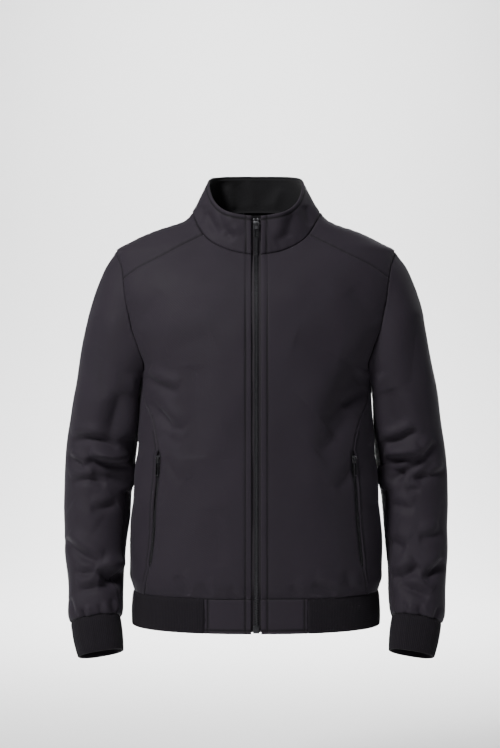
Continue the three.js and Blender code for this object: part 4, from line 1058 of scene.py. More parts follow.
def wall(
    name: str,
    outer: Array,
    inner: Array,
    uv: Array,
    tones: dict[str, Array],
    materials: tuple[Material, Material],
    angle: float = 50,
    tube: bool = False,
) -> Piece:
    """A closed wall of cloth between two grids of points.

    Args:
        name: the piece's name.
        outer: rows and columns of points of the outer face, in millimetres.
        inner: the same of the inner face.
        uv: each point's place on the flat cloth, in metres.
        tones: numbers for each point that its material reads, by name.
        materials: the finishes of the outer and the inner face.
        angle: edges sharper than this, in degrees, stay sharp.
        tube: whether the last column of points lies on the first.

    Returns:
        The object.
    """
    rows, cols = outer.shape[:2]
    obj = block_grid(name, rows, cols, tube)
    flat = points_of(obj)
    col = np.rint((flat[:, 0] + 1) / 2 * (cols - 1)).astype(int)
    row = np.rint((flat[:, 1] + 1) / 2 * (rows - 1)).astype(int)
    lower = flat[:, 2] < -0.5
    points = np.where(lower[:, None], inner[row, col], outer[row, col]) * MM
    move_points(obj, points)
    corners = np.empty(len(obj.data.loops), np.int32)
    obj.data.loops.foreach_get("vertex_index", corners)
    layer = obj.data.uv_layers[0]
    layer.name = "cut"
    layer.data.foreach_set("uv", uv[row, col][corners].astype(np.float32).ravel())
    for tone, values in tones.items():
        attribute = obj.data.attributes.new(tone, "FLOAT", "POINT")
        attribute.data.foreach_set("value", values[row, col].astype(np.float32).ravel())
    faces = corners.reshape(-1, 4)
    p = points[faces]
    volume = np.sum(np.einsum("ij,ij->i", p[:, 0], np.cross(p[:, 1], p[:, 2])))
    volume += np.sum(np.einsum("ij,ij->i", p[:, 0], np.cross(p[:, 2], p[:, 3])))
    if volume < 0:
        obj.data.flip_normals()
    inside = lower[faces].all(axis=1).astype(np.int32)
    obj.data.polygons.foreach_set("material_index", inside)
    obj.data.update()
    if tube:
        only(obj)
        with editing():
            bpy.ops.mesh.remove_doubles(threshold=1e-6)
    smooth_by(obj, angle)
    for material in materials:
        obj.data.materials.append(material)
    return obj


def faces_taken(model: Piece) -> list[list[int]]:
    """The faces of a small model that is copied by its points; the model itself is deleted."""
    faces = [list(face.vertices) for face in model.data.polygons]
    bpy.data.objects.remove(model)
    return faces


def piece_of_copies(name: str, points: list[Array], faces: list, material: Material, angle: float) -> Piece:
    """One piece from many copies of a model.

    Args:
        name: the piece's name.
        points: each copy's points, in millimetres.
        faces: the faces of all the copies.
        material: its finish.
        angle: edges sharper than this, in degrees, stay sharp.

    Returns:
        The piece, on the jacket's body.
    """
    mesh = bpy.data.meshes.new(name)
    mesh.from_pydata((np.concatenate(points) * MM).tolist(), [], faces)
    obj = bpy.data.objects.new(name, mesh)
    bpy.context.collection.objects.link(obj)
    mesh.materials.append(material)
    smooth_by(obj, angle)
    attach(obj, BODY)
    return obj


class Join(Enum):
    """How a panel of cloth ends at an edge."""

    SEAM = "sewn to its neighbour, sunk in a groove"
    FOLDED = "folded back on itself, with a round edge"


@dataclass(frozen=True)
class Row:
    """A row of stitches beside an edge of a panel, and the heights between which it runs."""

    distance: float
    low: float = -1000
    high: float = 1000
    # how strongly its channel is darkened with painted shade
    painted_shade: float = 1.0  # how dark its channel looks

    def share(self, z: Array) -> Array:
        """1 where the row runs and 0 past its ends."""
        return smoothstep(z, self.low - 3, self.low) * (1 - smoothstep(z, self.high, self.high + 3))


def edge_round(distance: Array, radius: float) -> Array:
    """How far a folded edge's face stands back from flat, at distances from the edge."""
    d = np.clip(distance, 0, radius)
    return radius - np.sqrt(radius**2 - (radius - d) ** 2)


@dataclass
class Panel:
    """A panel of cloth, from a grid of points on the jacket's form."""

    name: str
    points: Array
    outward: Array
    joins: dict[str, Join]
    thick: float = CLOTH
    creases: tuple[Crease, ...] = ()
    rows_of_stitches: dict[str, tuple[Row, ...]] = field(default_factory=dict)
    groove: float = 0.95
    groove_width: float = 1.25
    pucker: float = 0.32
    ripple: float = 1.3
    fold: float = 1.9  # how much deeper its folds are than the depths in the table of creases
    slot: str = "softshell"
    held: str = "hung"

    def away(self) -> dict[str, Array]:
        """Distances from the four edges along the grid's lines."""
        across, down = lengths_along(self.points, 1), lengths_along(self.points, 0)
        right, bottom = across[:, -1:] - across, down[-1:] - down
        return {"left": across, "right": right, "top": down, "bottom": bottom}

    def along(self, edge: str) -> Array:
        """How far along an edge each point lies."""
        return lengths_along(self.points, 0 if edge in ("left", "right") else 1)

    def build(self, materials: tuple[Material, Material]) -> Piece:
        """Shapes the cloth and makes the wall.

        Args:
            materials: the finishes of the outer and the inner face.

        Returns:
            The piece.
        """
        away = self.away()
        offset = self.ripple * Ripples(RIPPLE_SEED)(self.points)
        offset += self.fold * crease_offset(self.creases, self.points, self.outward[..., 1])
        # lines gathers the painted shade of seams' grooves and stitch channels, which the material reads as
        # line
        rounding, lines = np.zeros((2, *self.points.shape[:-1]))
        near = np.full(self.points.shape[:-1], FAR)
        for edge, join in self.joins.items():
            d = away[edge]
            near = np.minimum(near, d)
            if join is Join.SEAM:
                offset += self.seam_relief(d, self.along(edge))
                lines = np.maximum(lines, SEAM_SHADE * bell(d, SEAM_SHADE_WIDTH))
            elif join is Join.FOLDED:
                rounding = np.maximum(rounding, edge_round(d, self.thick / 2))
            for row in self.rows_of_stitches.get(edge, ()):
                runs = row.share(self.points[..., 2])
                channel = runs * bell(d - row.distance, CHANNEL_WIDTH)
                offset += ROW_SWELL * runs * bell(d - row.distance / 2, ROW_SWELL_WIDTH)
                offset -= CHANNEL_DEPTH * channel
                lines = np.maximum(lines, channel * row.painted_shade)
        self.face = self.points + self.outward * (offset - rounding)[..., None]
        inner = self.points + self.outward * (offset + rounding - self.thick)[..., None]
        for grid in (self.face, inner):
            self.end_edges(grid)
        spread = np.stack([self.along("top"), -self.along("left")], -1) * MM
        # edge is the wear near the panel's edges; line is the painted shade of its seams and stitch channels
        tones = {"edge": bell(near, WORN_WIDTH), "line": lines}
        self.piece = wall(self.name, self.face, inner, spread, tones, materials)
        self.normals = grid_normals(self.face, self.outward)
        return self.piece

    def seam_relief(self, d: Array, run: Array) -> Array:
        """How far out a seam moves the cloth beside it.

        Args:
            d: distances from the seam.
            run: distances along it.

        Returns:
            The distances out, in millimetres.
        """
        wave = np.sin(run / 2.1 + 1.7 * np.sin(run / 17)) * (0.6 + 0.4 * np.sin(run / 29))
        pucker = self.pucker * wave * bell(d - PUCKER_AT, PUCKER_WIDTH)
        swell = SEAM_SWELL * bell(d - SEAM_SWELL_AT, SEAM_SWELL_WIDTH)
        return pucker + swell - self.groove * bell(d, self.groove_width)

    def end_edges(self, grid: Array) -> None:
        """Laps a grid's seams a little under their neighbours, and draws its other edges in."""
        borders = {
            "top": (grid[0], grid[1]),
            "bottom": (grid[-1], grid[-2]),
            "left": (grid[:, 0], grid[:, 1]),
            "right": (grid[:, -1], grid[:, -2]),
        }
        for edge, (border, beside) in borders.items():
            step = -SEAM_LAP if self.joins.get(edge) is Join.SEAM else SEAM_GAP / 2
            border += unit(beside - border) * step

    def flat_size(self) -> tuple[float, float, float]:
        """The cut's width, length and area in metres."""
        across, down = lengths_along(self.points, 1)[:, -1], lengths_along(self.points, 0)[-1]
        a = np.diff(self.points, axis=0)[:, :-1]
        b = np.diff(self.points, axis=1)[:-1]
        area = float(np.linalg.norm(np.cross(a, b), axis=-1).sum()) * MM**2
        width, length = float(across.max()) * MM, float(down.max()) * MM
        return width, length, min(area, width * length)

    def stitch_path(self, edge: str, row: Row) -> tuple[Array, Array]:
        """The points of a row of stitches beside an edge, and the ways out there."""
        d = self.away()[edge]
        if edge in ("top", "bottom"):
            d, face, normals = d.T, self.face.swapaxes(0, 1), self.normals.swapaxes(0, 1)
        else:
            face, normals = self.face, self.normals
        turn = 1 if d[0, 0] < d[0, -1] else -1
        points, ways = [], []
        for k in range(len(d)):
            pick = d[k, ::turn]
            point = [np.interp(row.distance, pick, face[k, ::turn, i]) for i in range(3)]
            if row.low <= point[2] <= row.high:
                points.append(point)
                ways.append([np.interp(row.distance, pick, normals[k, ::turn, i]) for i in range(3)])
        return np.array(points), np.array(ways)

    def sew(self, thread: Material) -> list[Piece]:
        """Sews the panel's rows of stitches, as one piece."""
        rows = [(edge, row) for edge, found in self.rows_of_stitches.items() for row in found]
        paths = [self.stitch_path(edge, row) for edge, row in rows]
        return [Stitching().build(f"{self.name}_stitching", paths, thread)] if paths else []

    def dress(self, replaced: str, with_pieces: list[Piece], rests_on: list[str]) -> None:
        """Puts the piece on the body, hides the CAD node it stands for and logs its size.

        Args:
            replaced: the CAD node that it stands for.
            with_pieces: the pieces sewn on it; not used.
            rests_on: what it hangs from or is sewn to.
        """
        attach(self.piece, BODY)
        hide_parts(replaced)
        width, length, area = self.flat_size()
        width, length = round(width, 3), round(length, 3)
        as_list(rests_on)
        LOG.info("%s: %.0f x %.0f mm", self.name, width / MM, length / MM)


def real_stations(
    grid: Grid, marks_u: list[float], marks_v: list[float], lines: dict[str, list[float]]
) -> tuple[Array, Array]:
    """Shares for a grid's lines, spaced by real distances on the cloth.

    Args:
        grid: gives points for shares u and v.
        marks_u: shares across that need a line of their own.
        marks_v: shares down that do.
        lines: distances of rows of stitches from each edge.

    Returns:
        The shares across and down.
    """
    dense = smoothstep(np.linspace(0, 1, 500), 0, 1)
    probe = np.linspace(0.03, 0.97, 9)  # lines whose lengths are averaged
    found = []
    sides = (("left", "right", marks_u), ("top", "bottom", marks_v))
    for axis, (near, far, marks) in zip((1, 0), sides):
        points = grid(dense, probe) if axis else grid(probe, dense)
        sums = lengths_along(points, axis).mean(1 - axis)
        length = sums[-1]
        wanted = [np.interp(m, dense, sums) / length for m in marks]
        rows = list(lines.get(near, ())) + [length - d for d in lines.get(far, ())]
        shares = stations(length, wanted, rows)
        found.append(np.interp(shares * length, sums, dense))
    return found[0], found[1]


@dataclass
class Stitching:
    """Rows of stitches joined into one piece. One stitch is modelled and copied along the rows."""

    pitch: float = 3.1
    length: float = 2.3
    radius: float = 0.27
    lift: float = -0.12  # from the cloth's face in the row's channel
    dip: float = 0.12  # how far a stitch's ends sink

    def one(self) -> tuple[Array, Array]:
        """A stitch lying along X, as points in millimetres and faces."""
        bpy.ops.object.select_all(action="DESELECT")
        bpy.ops.mesh.primitive_uv_sphere_add(segments=6, ring_count=4, radius=1)
        obj = bpy.context.object
        points = points_of(obj)[:, [2, 0, 1]] * (self.length / 2, self.radius, self.radius)
        points[:, 2] -= self.dip * (np.abs(points[:, 0]) / (self.length / 2)) ** 2
        return points, faces_taken(obj)

    def build(self, name: str, paths: list[tuple[Array, Array]], material: Material) -> Piece:
        """Lays the stitches along paths.

        Args:
            name: the piece's name.
            paths: lists of points and ways out.
            material: the thread's finish.

        Returns:
            The piece.
        """
        one, faces = self.one()
        points, polygons = [], []
        for places, ways in paths:
            sums = lengths_along(places, 0)
            count = int(sums[-1] / self.pitch)
            if count < 1:
                continue
            middles = (np.arange(count) + 0.5) * sums[-1] / count
            at = [read_along(sums, places, middles + k) for k in (-1, 0, 1)]
            along = unit(at[2] - at[0])
            out = unit(read_along(sums, ways, middles))
            across = unit(np.cross(out, along))
            out = np.cross(along, across)
            for k in range(count):
                start = len(points) * len(one)
                frame = np.stack([along[k], across[k], out[k]])
                points.append(at[1][k] + out[k] * self.lift + one @ frame)
                polygons += [[start + i for i in face] for face in faces]
        return piece_of_copies(name, points, polygons, material, 60)


@dataclass
class Cloths:
    """The finishes that the sub-assemblies share."""

    face: Material
    inside: Material
    rib: Material
    tape: Material
    thread: Material
    metal: Material
    pull: Material
    teeth: Material


SEWN = {edge: Join.SEAM for edge in ("left", "right", "top", "bottom")}


@dataclass
class Shell:
    """The body's panels: fronts, yokes, side panels and back."""

    cloths: Cloths
    placket: float = 9.5
    pocket_row: float = 6.3
    row_past: tuple = (26, 30)  # how far it passes the pocket's bottom and top
    edge_row: float = 1.9
    polar_scale: float = 190.0
    kept_open: float = 0.7  # the share of a pocket's full opening that it keeps below its pull

    def panel(self, name: str, edges: tuple, side: int, back: bool, **facts: Any) -> Panel:
        """A panel between four edges seen from the front or the back.

        Args:
            name: the panel's name.
            edges: top, bottom, left and right, then the marks across and down.
            side: 1 on the wearer's left and -1 on the right.
            back: whether it is seen from the back.
            facts: the panel's other fields.

        Returns:
            The panel, not built yet.
        """
        top, bottom, left, right, marks_u, marks_v = edges

        def grid(us: Array, vs: Array) -> Array:
            """Points of the panel."""
            place = coons(top, bottom, left, right, us, vs)
            return mirrored(TORSO_FORM.points(place[..., 0], place[..., 1], back), side)

        rows = facts.get("rows_of_stitches", {})
        lines = {edge: [row.distance for row in found] for edge, found in rows.items()}
        us, vs = real_stations(grid, marks_u, marks_v, lines)
        points = grid(us, vs)
        return Panel(name, points, TORSO_FORM.normal(points), creases=TORSO_CREASES, **facts)

    def opened(self, way: int) -> Edge:
        """The pocket's seam, standing back from the zip on one side."""
        places = pocket_edge().places.copy()
        z = places[:, 1]
        opening = smoothstep(z, POCKET_BOTTOM_Z - 3, POCKET_BOTTOM_Z + 3)
        opening *= 1 - smoothstep(z, POCKET_TOP_Z - 3, POCKET_TOP_Z + 3)
        pull = smoothstep(z, *(POCKET_TOP_Z - drop for drop in PULL_FOOT_DROPS))
        wide = self.kept_open + (1 - self.kept_open) * pull
        places[:, 0] += way * POCKET_OPEN_X * wide * opening
        return Edge(places)

    def front(self, word: str, side: int) -> Panel:
        """A front, from the zip to the armhole and the pocket's seam."""
        top, marks_u = joined(curve_of(FRONT_NECKLINE), curve_of(YOKE_SEAM))
        right, marks_v = joined(armhole_edge(ROW_YOKE, ROW_UNDER), self.opened(-1))
        left = Edge([FRONT_NECKLINE[0], (FRONT_EDGE_X, HEM_SEAM_Z)])
        bottom = Edge([(FRONT_EDGE_X, HEM_SEAM_Z), right.places[-1]])
        pocket = Row(self.edge_row, POCKET_BOTTOM_Z - 4, POCKET_TOP_Z + 4, painted_shade=0.15)
        rows = {"left": (Row(self.placket),), "right": (pocket,)}
        edges = (top, bottom, left, right, marks_u, marks_v)
        joins = SEWN | {"left": Join.FOLDED}
        name = f"front_{word}_cloth"
        return self.panel(name, edges, side, False, joins=joins, rows_of_stitches=rows)

    def yoke(self, word: str, side: int) -> Panel:
        """A shoulder yoke."""
        left = curve_of(YOKE_NECKLINE).back_to_front()
        edges = (shoulder_edge(), curve_of(YOKE_SEAM), left, armhole_edge(0, ROW_YOKE), [], [])
        rows = {"bottom": (Row(self.edge_row, painted_shade=0.35),)}
        name = f"front_yoke_{word}_cloth"
        return self.panel(name, edges, side, False, joins=SEWN, rows_of_stitches=rows)

    def back(self) -> Panel:
        """The back, from shoulder to shoulder."""
        shoulder = shoulder_edge()
        flip = np.array([-1, 1])
        away = Edge(shoulder.places * flip)
        top, marks_u = joined(shoulder.back_to_front(), back_neck_edge(), away)
        seam = Edge(side_seam()[:, [0, 2]])
        left, marks_v = joined(armhole_edge(ROW_BACK, ROW_END).back_to_front(), seam)
        right = Edge(left.places * flip)
        bottom = Edge([left.places[-1], right.places[-1]])
        edges = (top, bottom, left, right, marks_u, marks_v)
        return self.panel("back_cloth", edges, 1, True, joins=SEWN)

    def side(self, word: str, side: int) -> Panel:
        """A side panel, from the pocket's seam round under the arm to the back."""
        scale = np.array([self.polar_scale, 1])

        def turned(points: Array) -> Edge:
            """A line of points as their directions from the front, and heights."""
            angle = np.arctan2(points[:, 0], -points[:, 1])
            return Edge(np.stack([angle, points[:, 2]], -1) * scale)

        left = turned(TORSO_FORM.points(*self.opened(1).places.T, False))
        right = turned(side_seam())
        top = turned(armhole_places(ROW_UNDER, ROW_BACK))
        bottom = Edge([left.places[-1], right.places[-1]])

        def grid(us: Array, vs: Array) -> Array:
            """Points of the panel."""
            place = coons(top, bottom, left, right, us, vs) / scale
            return mirrored(TORSO_FORM.polar(place[..., 0], place[..., 1]), side)

        low, high = POCKET_BOTTOM_Z - self.row_past[0], POCKET_TOP_Z + self.row_past[1]
        rows = {"left": (Row(self.pocket_row, low, high, painted_shade=0.7),)}
        us, vs = real_stations(grid, [], [], {"left": [self.pocket_row]})
        points = grid(us, vs)
        outward = TORSO_FORM.normal(points)
        name = f"side_panel_{word}_cloth"
        return Panel(name, points, outward, SEWN, creases=TORSO_CREASES, rows_of_stitches=rows)

    def build(self) -> None:
        """Builds, sews and places every panel of the body."""
        panels = [(self.back(), "back", ["side_panel_left", "side_panel_right"])]
        for word, side in SIDES:
            panels.append((self.front(word, side), f"front_{word}", [f"front_yoke_{word}"]))
            panels.append((self.yoke(word, side), f"front_yoke_{word}", ["back"]))
            panels.append((self.side(word, side), f"side_panel_{word}", [f"front_{word}", "back"]))
        for panel, node, neighbours in panels:
            panel.build((self.cloths.face, self.cloths.inside))
            panel.dress(node, panel.sew(self.cloths.thread), neighbours)


@dataclass
class Collar:
    """The stand collar, of two layers."""

    cloths: Cloths
    top_row: float = 6.5
    front_row: float = 8.8
    height: float = 62.0

    def base(self) -> Array:
        """The neckline from the left of the zip round to the right."""
        front = joined(curve_of(FRONT_NECKLINE), curve_of(YOKE_NECKLINE))[0].at(np.linspace(0, 1, 120))
        back = back_neck_edge().at(np.linspace(0, 1, 140))
        half, behind = TORSO_FORM.points(*front.T, False), TORSO_FORM.points(*back.T, True)
        return np.concatenate([half[:-1], behind, mirrored(half[:-1], -1)[::-1]])

    def build(self) -> None:
        """Builds the collar."""
        neck = self.base()
        sums = lengths_along(neck, 0)
        front = (Row(self.front_row),)
        rows = {"top": (Row(self.top_row),), "left": front, "right": front}
        us = stations(sums[-1], lines=[self.front_row, sums[-1] - self.front_row])
        vs = stations(self.height, lines=[self.top_row])

        def grid(us: Array, vs: Array) -> Array:
            """Points of the collar, from its top edge down."""
            low = read_along(sums, neck, us * sums[-1])
            t = np.minimum(2 * us, 2 - 2 * us) * (len(COLLAR_TOP) - 1)
            high = along_rows(np.array(COLLAR_TOP), t)
            high[:, 0] *= np.where(us > 0.5, -1, 1)
            return high[None] * (1 - vs[:, None, None]) + low[None] * vs[:, None, None]

        points = grid(us, vs)
        middle = np.array([0, -5, 0])
        outward = grid_normals(points, (points - middle) * np.array([1, 1, 0]))
        folded = Join.FOLDED
        panel = Panel(
            "collar_cloth",
            points,
            outward,
            SEWN | {"left": folded, "right": folded, "top": folded},
            thick=DOUBLE_CLOTH,
            creases=COLLAR_CREASES,
            rows_of_stitches=rows,
            ripple=0.7,
            fold=2.8,
        )
        panel.build((self.cloths.face, self.cloths.inside))
        panel.dress("collar", panel.sew(self.cloths.thread), ["back", "front_right", "front_left"])


@dataclass
class Tabs:
    """The self-fabric tabs of the hem, beside the zip."""

    cloths: Cloths
    end_row: float = 6.0
    bottom_row: float = 5.4
    front_row: float = 9.5

    def build(self) -> None:
        """Builds both tabs."""
        width, height = TAB_END_X - FRONT_EDGE_X, HEM_SEAM_Z - HEM_Z
        us = stations(width, lines=[self.front_row, width - self.end_row])
        vs = stations(height, lines=[height - self.bottom_row])
        x = FRONT_EDGE_X + width * us[None] + 0 * vs[:, None]
        z = HEM_SEAM_Z - height * vs[:, None] + 0 * us[None]
        for word, side in SIDES:
            points = mirrored(TORSO_FORM.points(x, z, False), side)
            outward = np.broadcast_to(np.array([0.0, -1, 0]), points.shape)
            rows = {"left": self.front_row, "right": self.end_row, "bottom": self.bottom_row}
            panel = Panel(
                f"hem_tab_{word}_cloth",
                points,
                outward,
                SEWN | {"left": Join.FOLDED, "bottom": Join.FOLDED},
                thick=DOUBLE_CLOTH,
                rows_of_stitches={edge: (Row(distance),) for edge, distance in rows.items()},
                pucker=0.2,
                ripple=0.25,
                held="folded",
            )
            panel.build((self.cloths.face, self.cloths.inside))
            panel.dress(f"hem_tab_{word}", panel.sew(self.cloths.thread), [f"front_{word}"])


class SleeveForm:
    """The left sleeve's outer surface, from the armhole to the cuff."""

    def __init__(self) -> None:
        """Makes the columns and measures the armhole."""
        table = np.array(SLEEVE)
        self.columns = [Column(table[:, 0], column) for column in table[:, 1:].T]
        loop = armhole_places(0, ROW_END, LOOP_POINTS)
        sums = lengths_along(loop, 0)
        half = np.interp(ROW_MIDDLE / ROW_END, np.linspace(0, 1, LOOP_POINTS), sums)
        whole = sums[-1]
        rest = np.pi + np.pi * (sums - half) / (whole - half)
        self.angles = np.where(sums < half, np.pi * sums / half, rest)
        self.drift = loop - self.outline(np.array([0.0]), self.angles)[0][0]

    def angle_at(self, row: float) -> float:
        """The direction round the sleeve of a row of the armhole's table."""
        return float(np.interp(row / ROW_END, np.linspace(0, 1, LOOP_POINTS), self.angles))

    def frame(self, sizes: list[Array]) -> tuple[Array, ...]:
        """A section's middle, its directions outwards and to the front, and its half sizes."""
        out_x, out_z, in_x, in_z, y, half, lift = (np.asarray(s, float) for s in sizes)
        zero = np.zeros_like(out_x)
        out, inside = np.stack([out_x, zero, out_z], -1), np.stack([in_x, zero, in_z], -1)
        middle = (out + inside) / 2
        middle[..., 1] = y
        turn = np.radians(lift)
        front = np.stack([zero, -np.cos(turn), np.sin(turn)], -1)
        return middle, unit(out - inside), front, np.linalg.norm(out - inside, axis=-1) / 2, half

    def ring(self, sizes: list[Array], angles: Array) -> tuple[Array, Array]:
        """Points of sections and the ways out, for angles counted from the outer side."""
        middle, across, front, a, b = self.frame(sizes)
        a, b = a[..., None], b[..., None]
        c, s = np.cos(angles), np.sin(angles)
        radius = (np.abs(c / a) ** RING_POWER + np.abs(s / b) ** RING_POWER) ** (-1 / RING_POWER)

        def flat(x: Array, y: Array) -> Array:
            """A vector in the section's plane."""
            return across[..., None, :] * x[..., None] + front[..., None, :] * y[..., None]

        steep = RING_POWER - 1
        to_side = np.sign(c) * np.abs(radius * c / a) ** steep / a
        to_front = np.sign(s) * np.abs(radius * s / b) ** steep / b
        return middle[..., None, :] + flat(radius * c, radius * s), unit(flat(to_side, to_front))

    def outline(self, ats: Array, angles: Array) -> tuple[Array, Array]:
        """Points and ways out of the sleeve's own sections."""
        return self.ring([column(ats) for column in self.columns], angles)

    def points(self, ats: Array, angles: Array) -> tuple[Array, Array]:
        """Points of the sleeve, joined to the armhole, and the ways out."""
        points, ways = self.outline(ats, angles)
        keep = 1 - smoothstep(ats, 0, ARMHOLE_BLEND)
        turn = np.mod(angles, 2 * np.pi)
        drift = read_along(self.angles, self.drift, turn)
        return points + keep[:, None, None] * drift, ways


@dataclass
class Sleeves:
    """Both sleeves, each of an upper and an under panel."""

    cloths: Cloths

    def build(self) -> None:
        """Builds the four panels."""
        form = SleeveForm()
        start, end = form.angle_at(ROW_UNDER), form.angle_at(ROW_BACK)
        halves = {"upper": (end, start + 2 * np.pi), "under": (start, end)}
        for word, side in SIDES:
            for half, (low, high) in halves.items():

                def grid(us: Array, vs: Array) -> Array:
                    """Points of the panel on the left side."""
                    return form.points(vs, low + (high - low) * us)[0]

                us, vs = real_stations(grid, [], [], {})
                points, ways = form.points(vs, low + (high - low) * us)
                points, ways = mirrored(points, side), mirrored(ways, side)
                outward = grid_normals(points, ways)
                panel = Panel(
                    f"sleeve_{half}_{word}_cloth",
                    points,
                    outward,
                    SEWN,
                    creases=SLEEVE_CREASES,
                    groove=1.1,
                    pucker=0.42,
                    ripple=1.5,
                    fold=2.3,
                )
                panel.build((self.cloths.face, self.cloths.inside))
                other = "under" if half == "upper" else "upper"
                panel.dress(f"sleeve_{half}_{word}", [], [f"sleeve_{other}_{word}", "back"])


@dataclass
class Ribs:
    """The rib-knit cuffs and hem."""

    cloths: Cloths
    pitch: float = 2.7
    rise: float = 0.62
    bulge: float = 1.5
    steps: int = 4
    under_tab: float = 3.0  # how far the band's ends reach under the tabs
    sink: float = 1.6
    cell: float = 3.4
    groove: float = 1.1
    groove_width: float = 1.4
    flattened: float = 2.2  # how far down from the seam the ribs are pressed flat
    sharp: float = 70.0

    def knit(
        self,
        name: str,
        top: Array,
        bottom: Array,
        ways: Array,
        ribs: int,
        tube: bool,
        taut: Array,
    ) -> Piece:
        """A band of rib knit with a folded lower edge.

        Args:
            name: the piece's name.
            top: points of its sewn edge.
            bottom: points of its folded edge.
            ways: the ways out.
            ribs: how many ribs it has.
            tube: whether it is closed.
            taut: for each column, how much of the ribs' height shows.

        Returns:
            The piece.
        """
        height = float(np.linalg.norm(top - bottom, axis=-1).mean())
        vs = stations(height, cell=self.cell)
        t = vs[:, None, None]
        base = top[None] * (1 - t) + bottom[None] * t
        down = vs[:, None] * height
        left = height - down
        angle = np.linspace(0, 2 * np.pi * ribs, top.shape[0])
        crest = (0.5 + 0.5 * np.cos(angle)) ** 0.8
        sway = 1 + 0.15 * np.sin(angle / ribs * 9 + 1.3) + 0.1 * np.sin(angle / ribs * 23)
        rise = self.rise * crest[None] * taut[None] * (1 - 0.75 * bell(down, self.flattened))
        swell = self.bulge * sway[None] * np.sin(np.pi * np.clip(down / height, 0, 1)) ** 0.7
        groove = self.groove * bell(down, self.groove_width)
        rounding = edge_round(left, RIB_CLOTH / 2)
        outer = base + ways[None] * (rise + swell - groove - rounding)[..., None]
        inner = base + ways[None] * (swell + rounding - RIB_CLOTH)[..., None]
        run = lengths_along(base, 1)
        uv = np.stack([run, -down + 0 * run], -1) * MM
        # crest also drives the rib knit's painted shade, darker in the valleys between ribs
        tones = {"crest": crest[None] + 0 * run}
        rib = self.cloths.rib
        piece = wall(name, outer, inner, uv, tones, (rib, rib), angle=self.sharp, tube=tube)
        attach(piece, BODY)
        return piece

    def cuffs(self) -> None:
        """Builds both cuffs."""
        form = SleeveForm()
        sizes = [column(1.0) for column in form.columns]
        half_depth = CUFF_END[5]
        ribs = int(2 * math.pi * half_depth / self.pitch)
        angles = np.linspace(0, 2 * np.pi, ribs * self.steps + 1)
        high, ways = form.ring(sizes, angles)
        low, ways_low = form.ring(list(CUFF_END), angles)
        high = high - ways * CUFF_TUCK
        for word, side in SIDES:
            out = mirrored(unit(ways + ways_low), side)
            top, bottom = mirrored(high, side), mirrored(low, side)
            name = f"cuff_{word}_knit"
            piece = self.knit(name, top, bottom, out, ribs, True, np.ones(len(angles)))
            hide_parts(f"cuff_{word}")

    def hem(self) -> None:
        """Builds the hem's band, from one tab round the back to the other."""
        start_x = TAB_END_X - self.under_tab
        start = math.atan2(start_x, -float(TORSO_FORM.y(start_x, HEM_SEAM_Z, False)))
        fine = np.linspace(start, 2 * np.pi - start, 2400)
        line = TORSO_FORM.polar(fine, HEM_SEAM_Z + 0 * fine)
        sums = lengths_along(line, 0)
        ribs = int(sums[-1] / self.pitch)
        angles = np.interp(np.linspace(0, sums[-1], ribs * self.steps + 1), sums, fine)
        top = TORSO_FORM.polar(angles, HEM_SEAM_Z + 0 * angles)
        bottom = TORSO_FORM.polar(angles, HEM_Z + 0 * angles)
        out = TORSO_FORM.normal(top)
        out[:, 2] = 0
        ends = np.minimum(np.arange(len(angles)), np.arange(len(angles))[::-1]) / self.steps * self.pitch
        sunk = self.sink * (1 - smoothstep(ends, self.under_tab - 0.5, self.under_tab + 1.5))
        top, bottom = (line - unit(out) * sunk[:, None] for line in (top, bottom))
        taut = smoothstep(ends, 1, 7)
        piece = self.knit("hem_rib_knit", top, bottom, unit(out), ribs, False, taut)
        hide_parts("hem_rib")

    def build(self) -> None:
        """Builds the hem and the cuffs."""
        self.hem()
        self.cuffs()


def bar(name: str, low: tuple, high: tuple, bevel: float, segments: int = 2) -> Piece:
    """A block between two corners in millimetres, with its edges bevelled."""
    bpy.ops.object.select_all(action="DESELECT")
    middle = [(a + b) / 2 * MM for a, b in zip(low, high)]
    bpy.ops.mesh.primitive_cube_add(size=1, location=middle)
    obj = bpy.context.object
    obj.name = obj.data.name = name
    obj.scale = [(b - a) * MM for a, b in zip(low, high)]
    bpy.ops.object.transform_apply(location=True, rotation=False, scale=True)
    with editing():
        bpy.ops.mesh.bevel(offset=bevel * MM, segments=segments, affect="EDGES")
    return obj


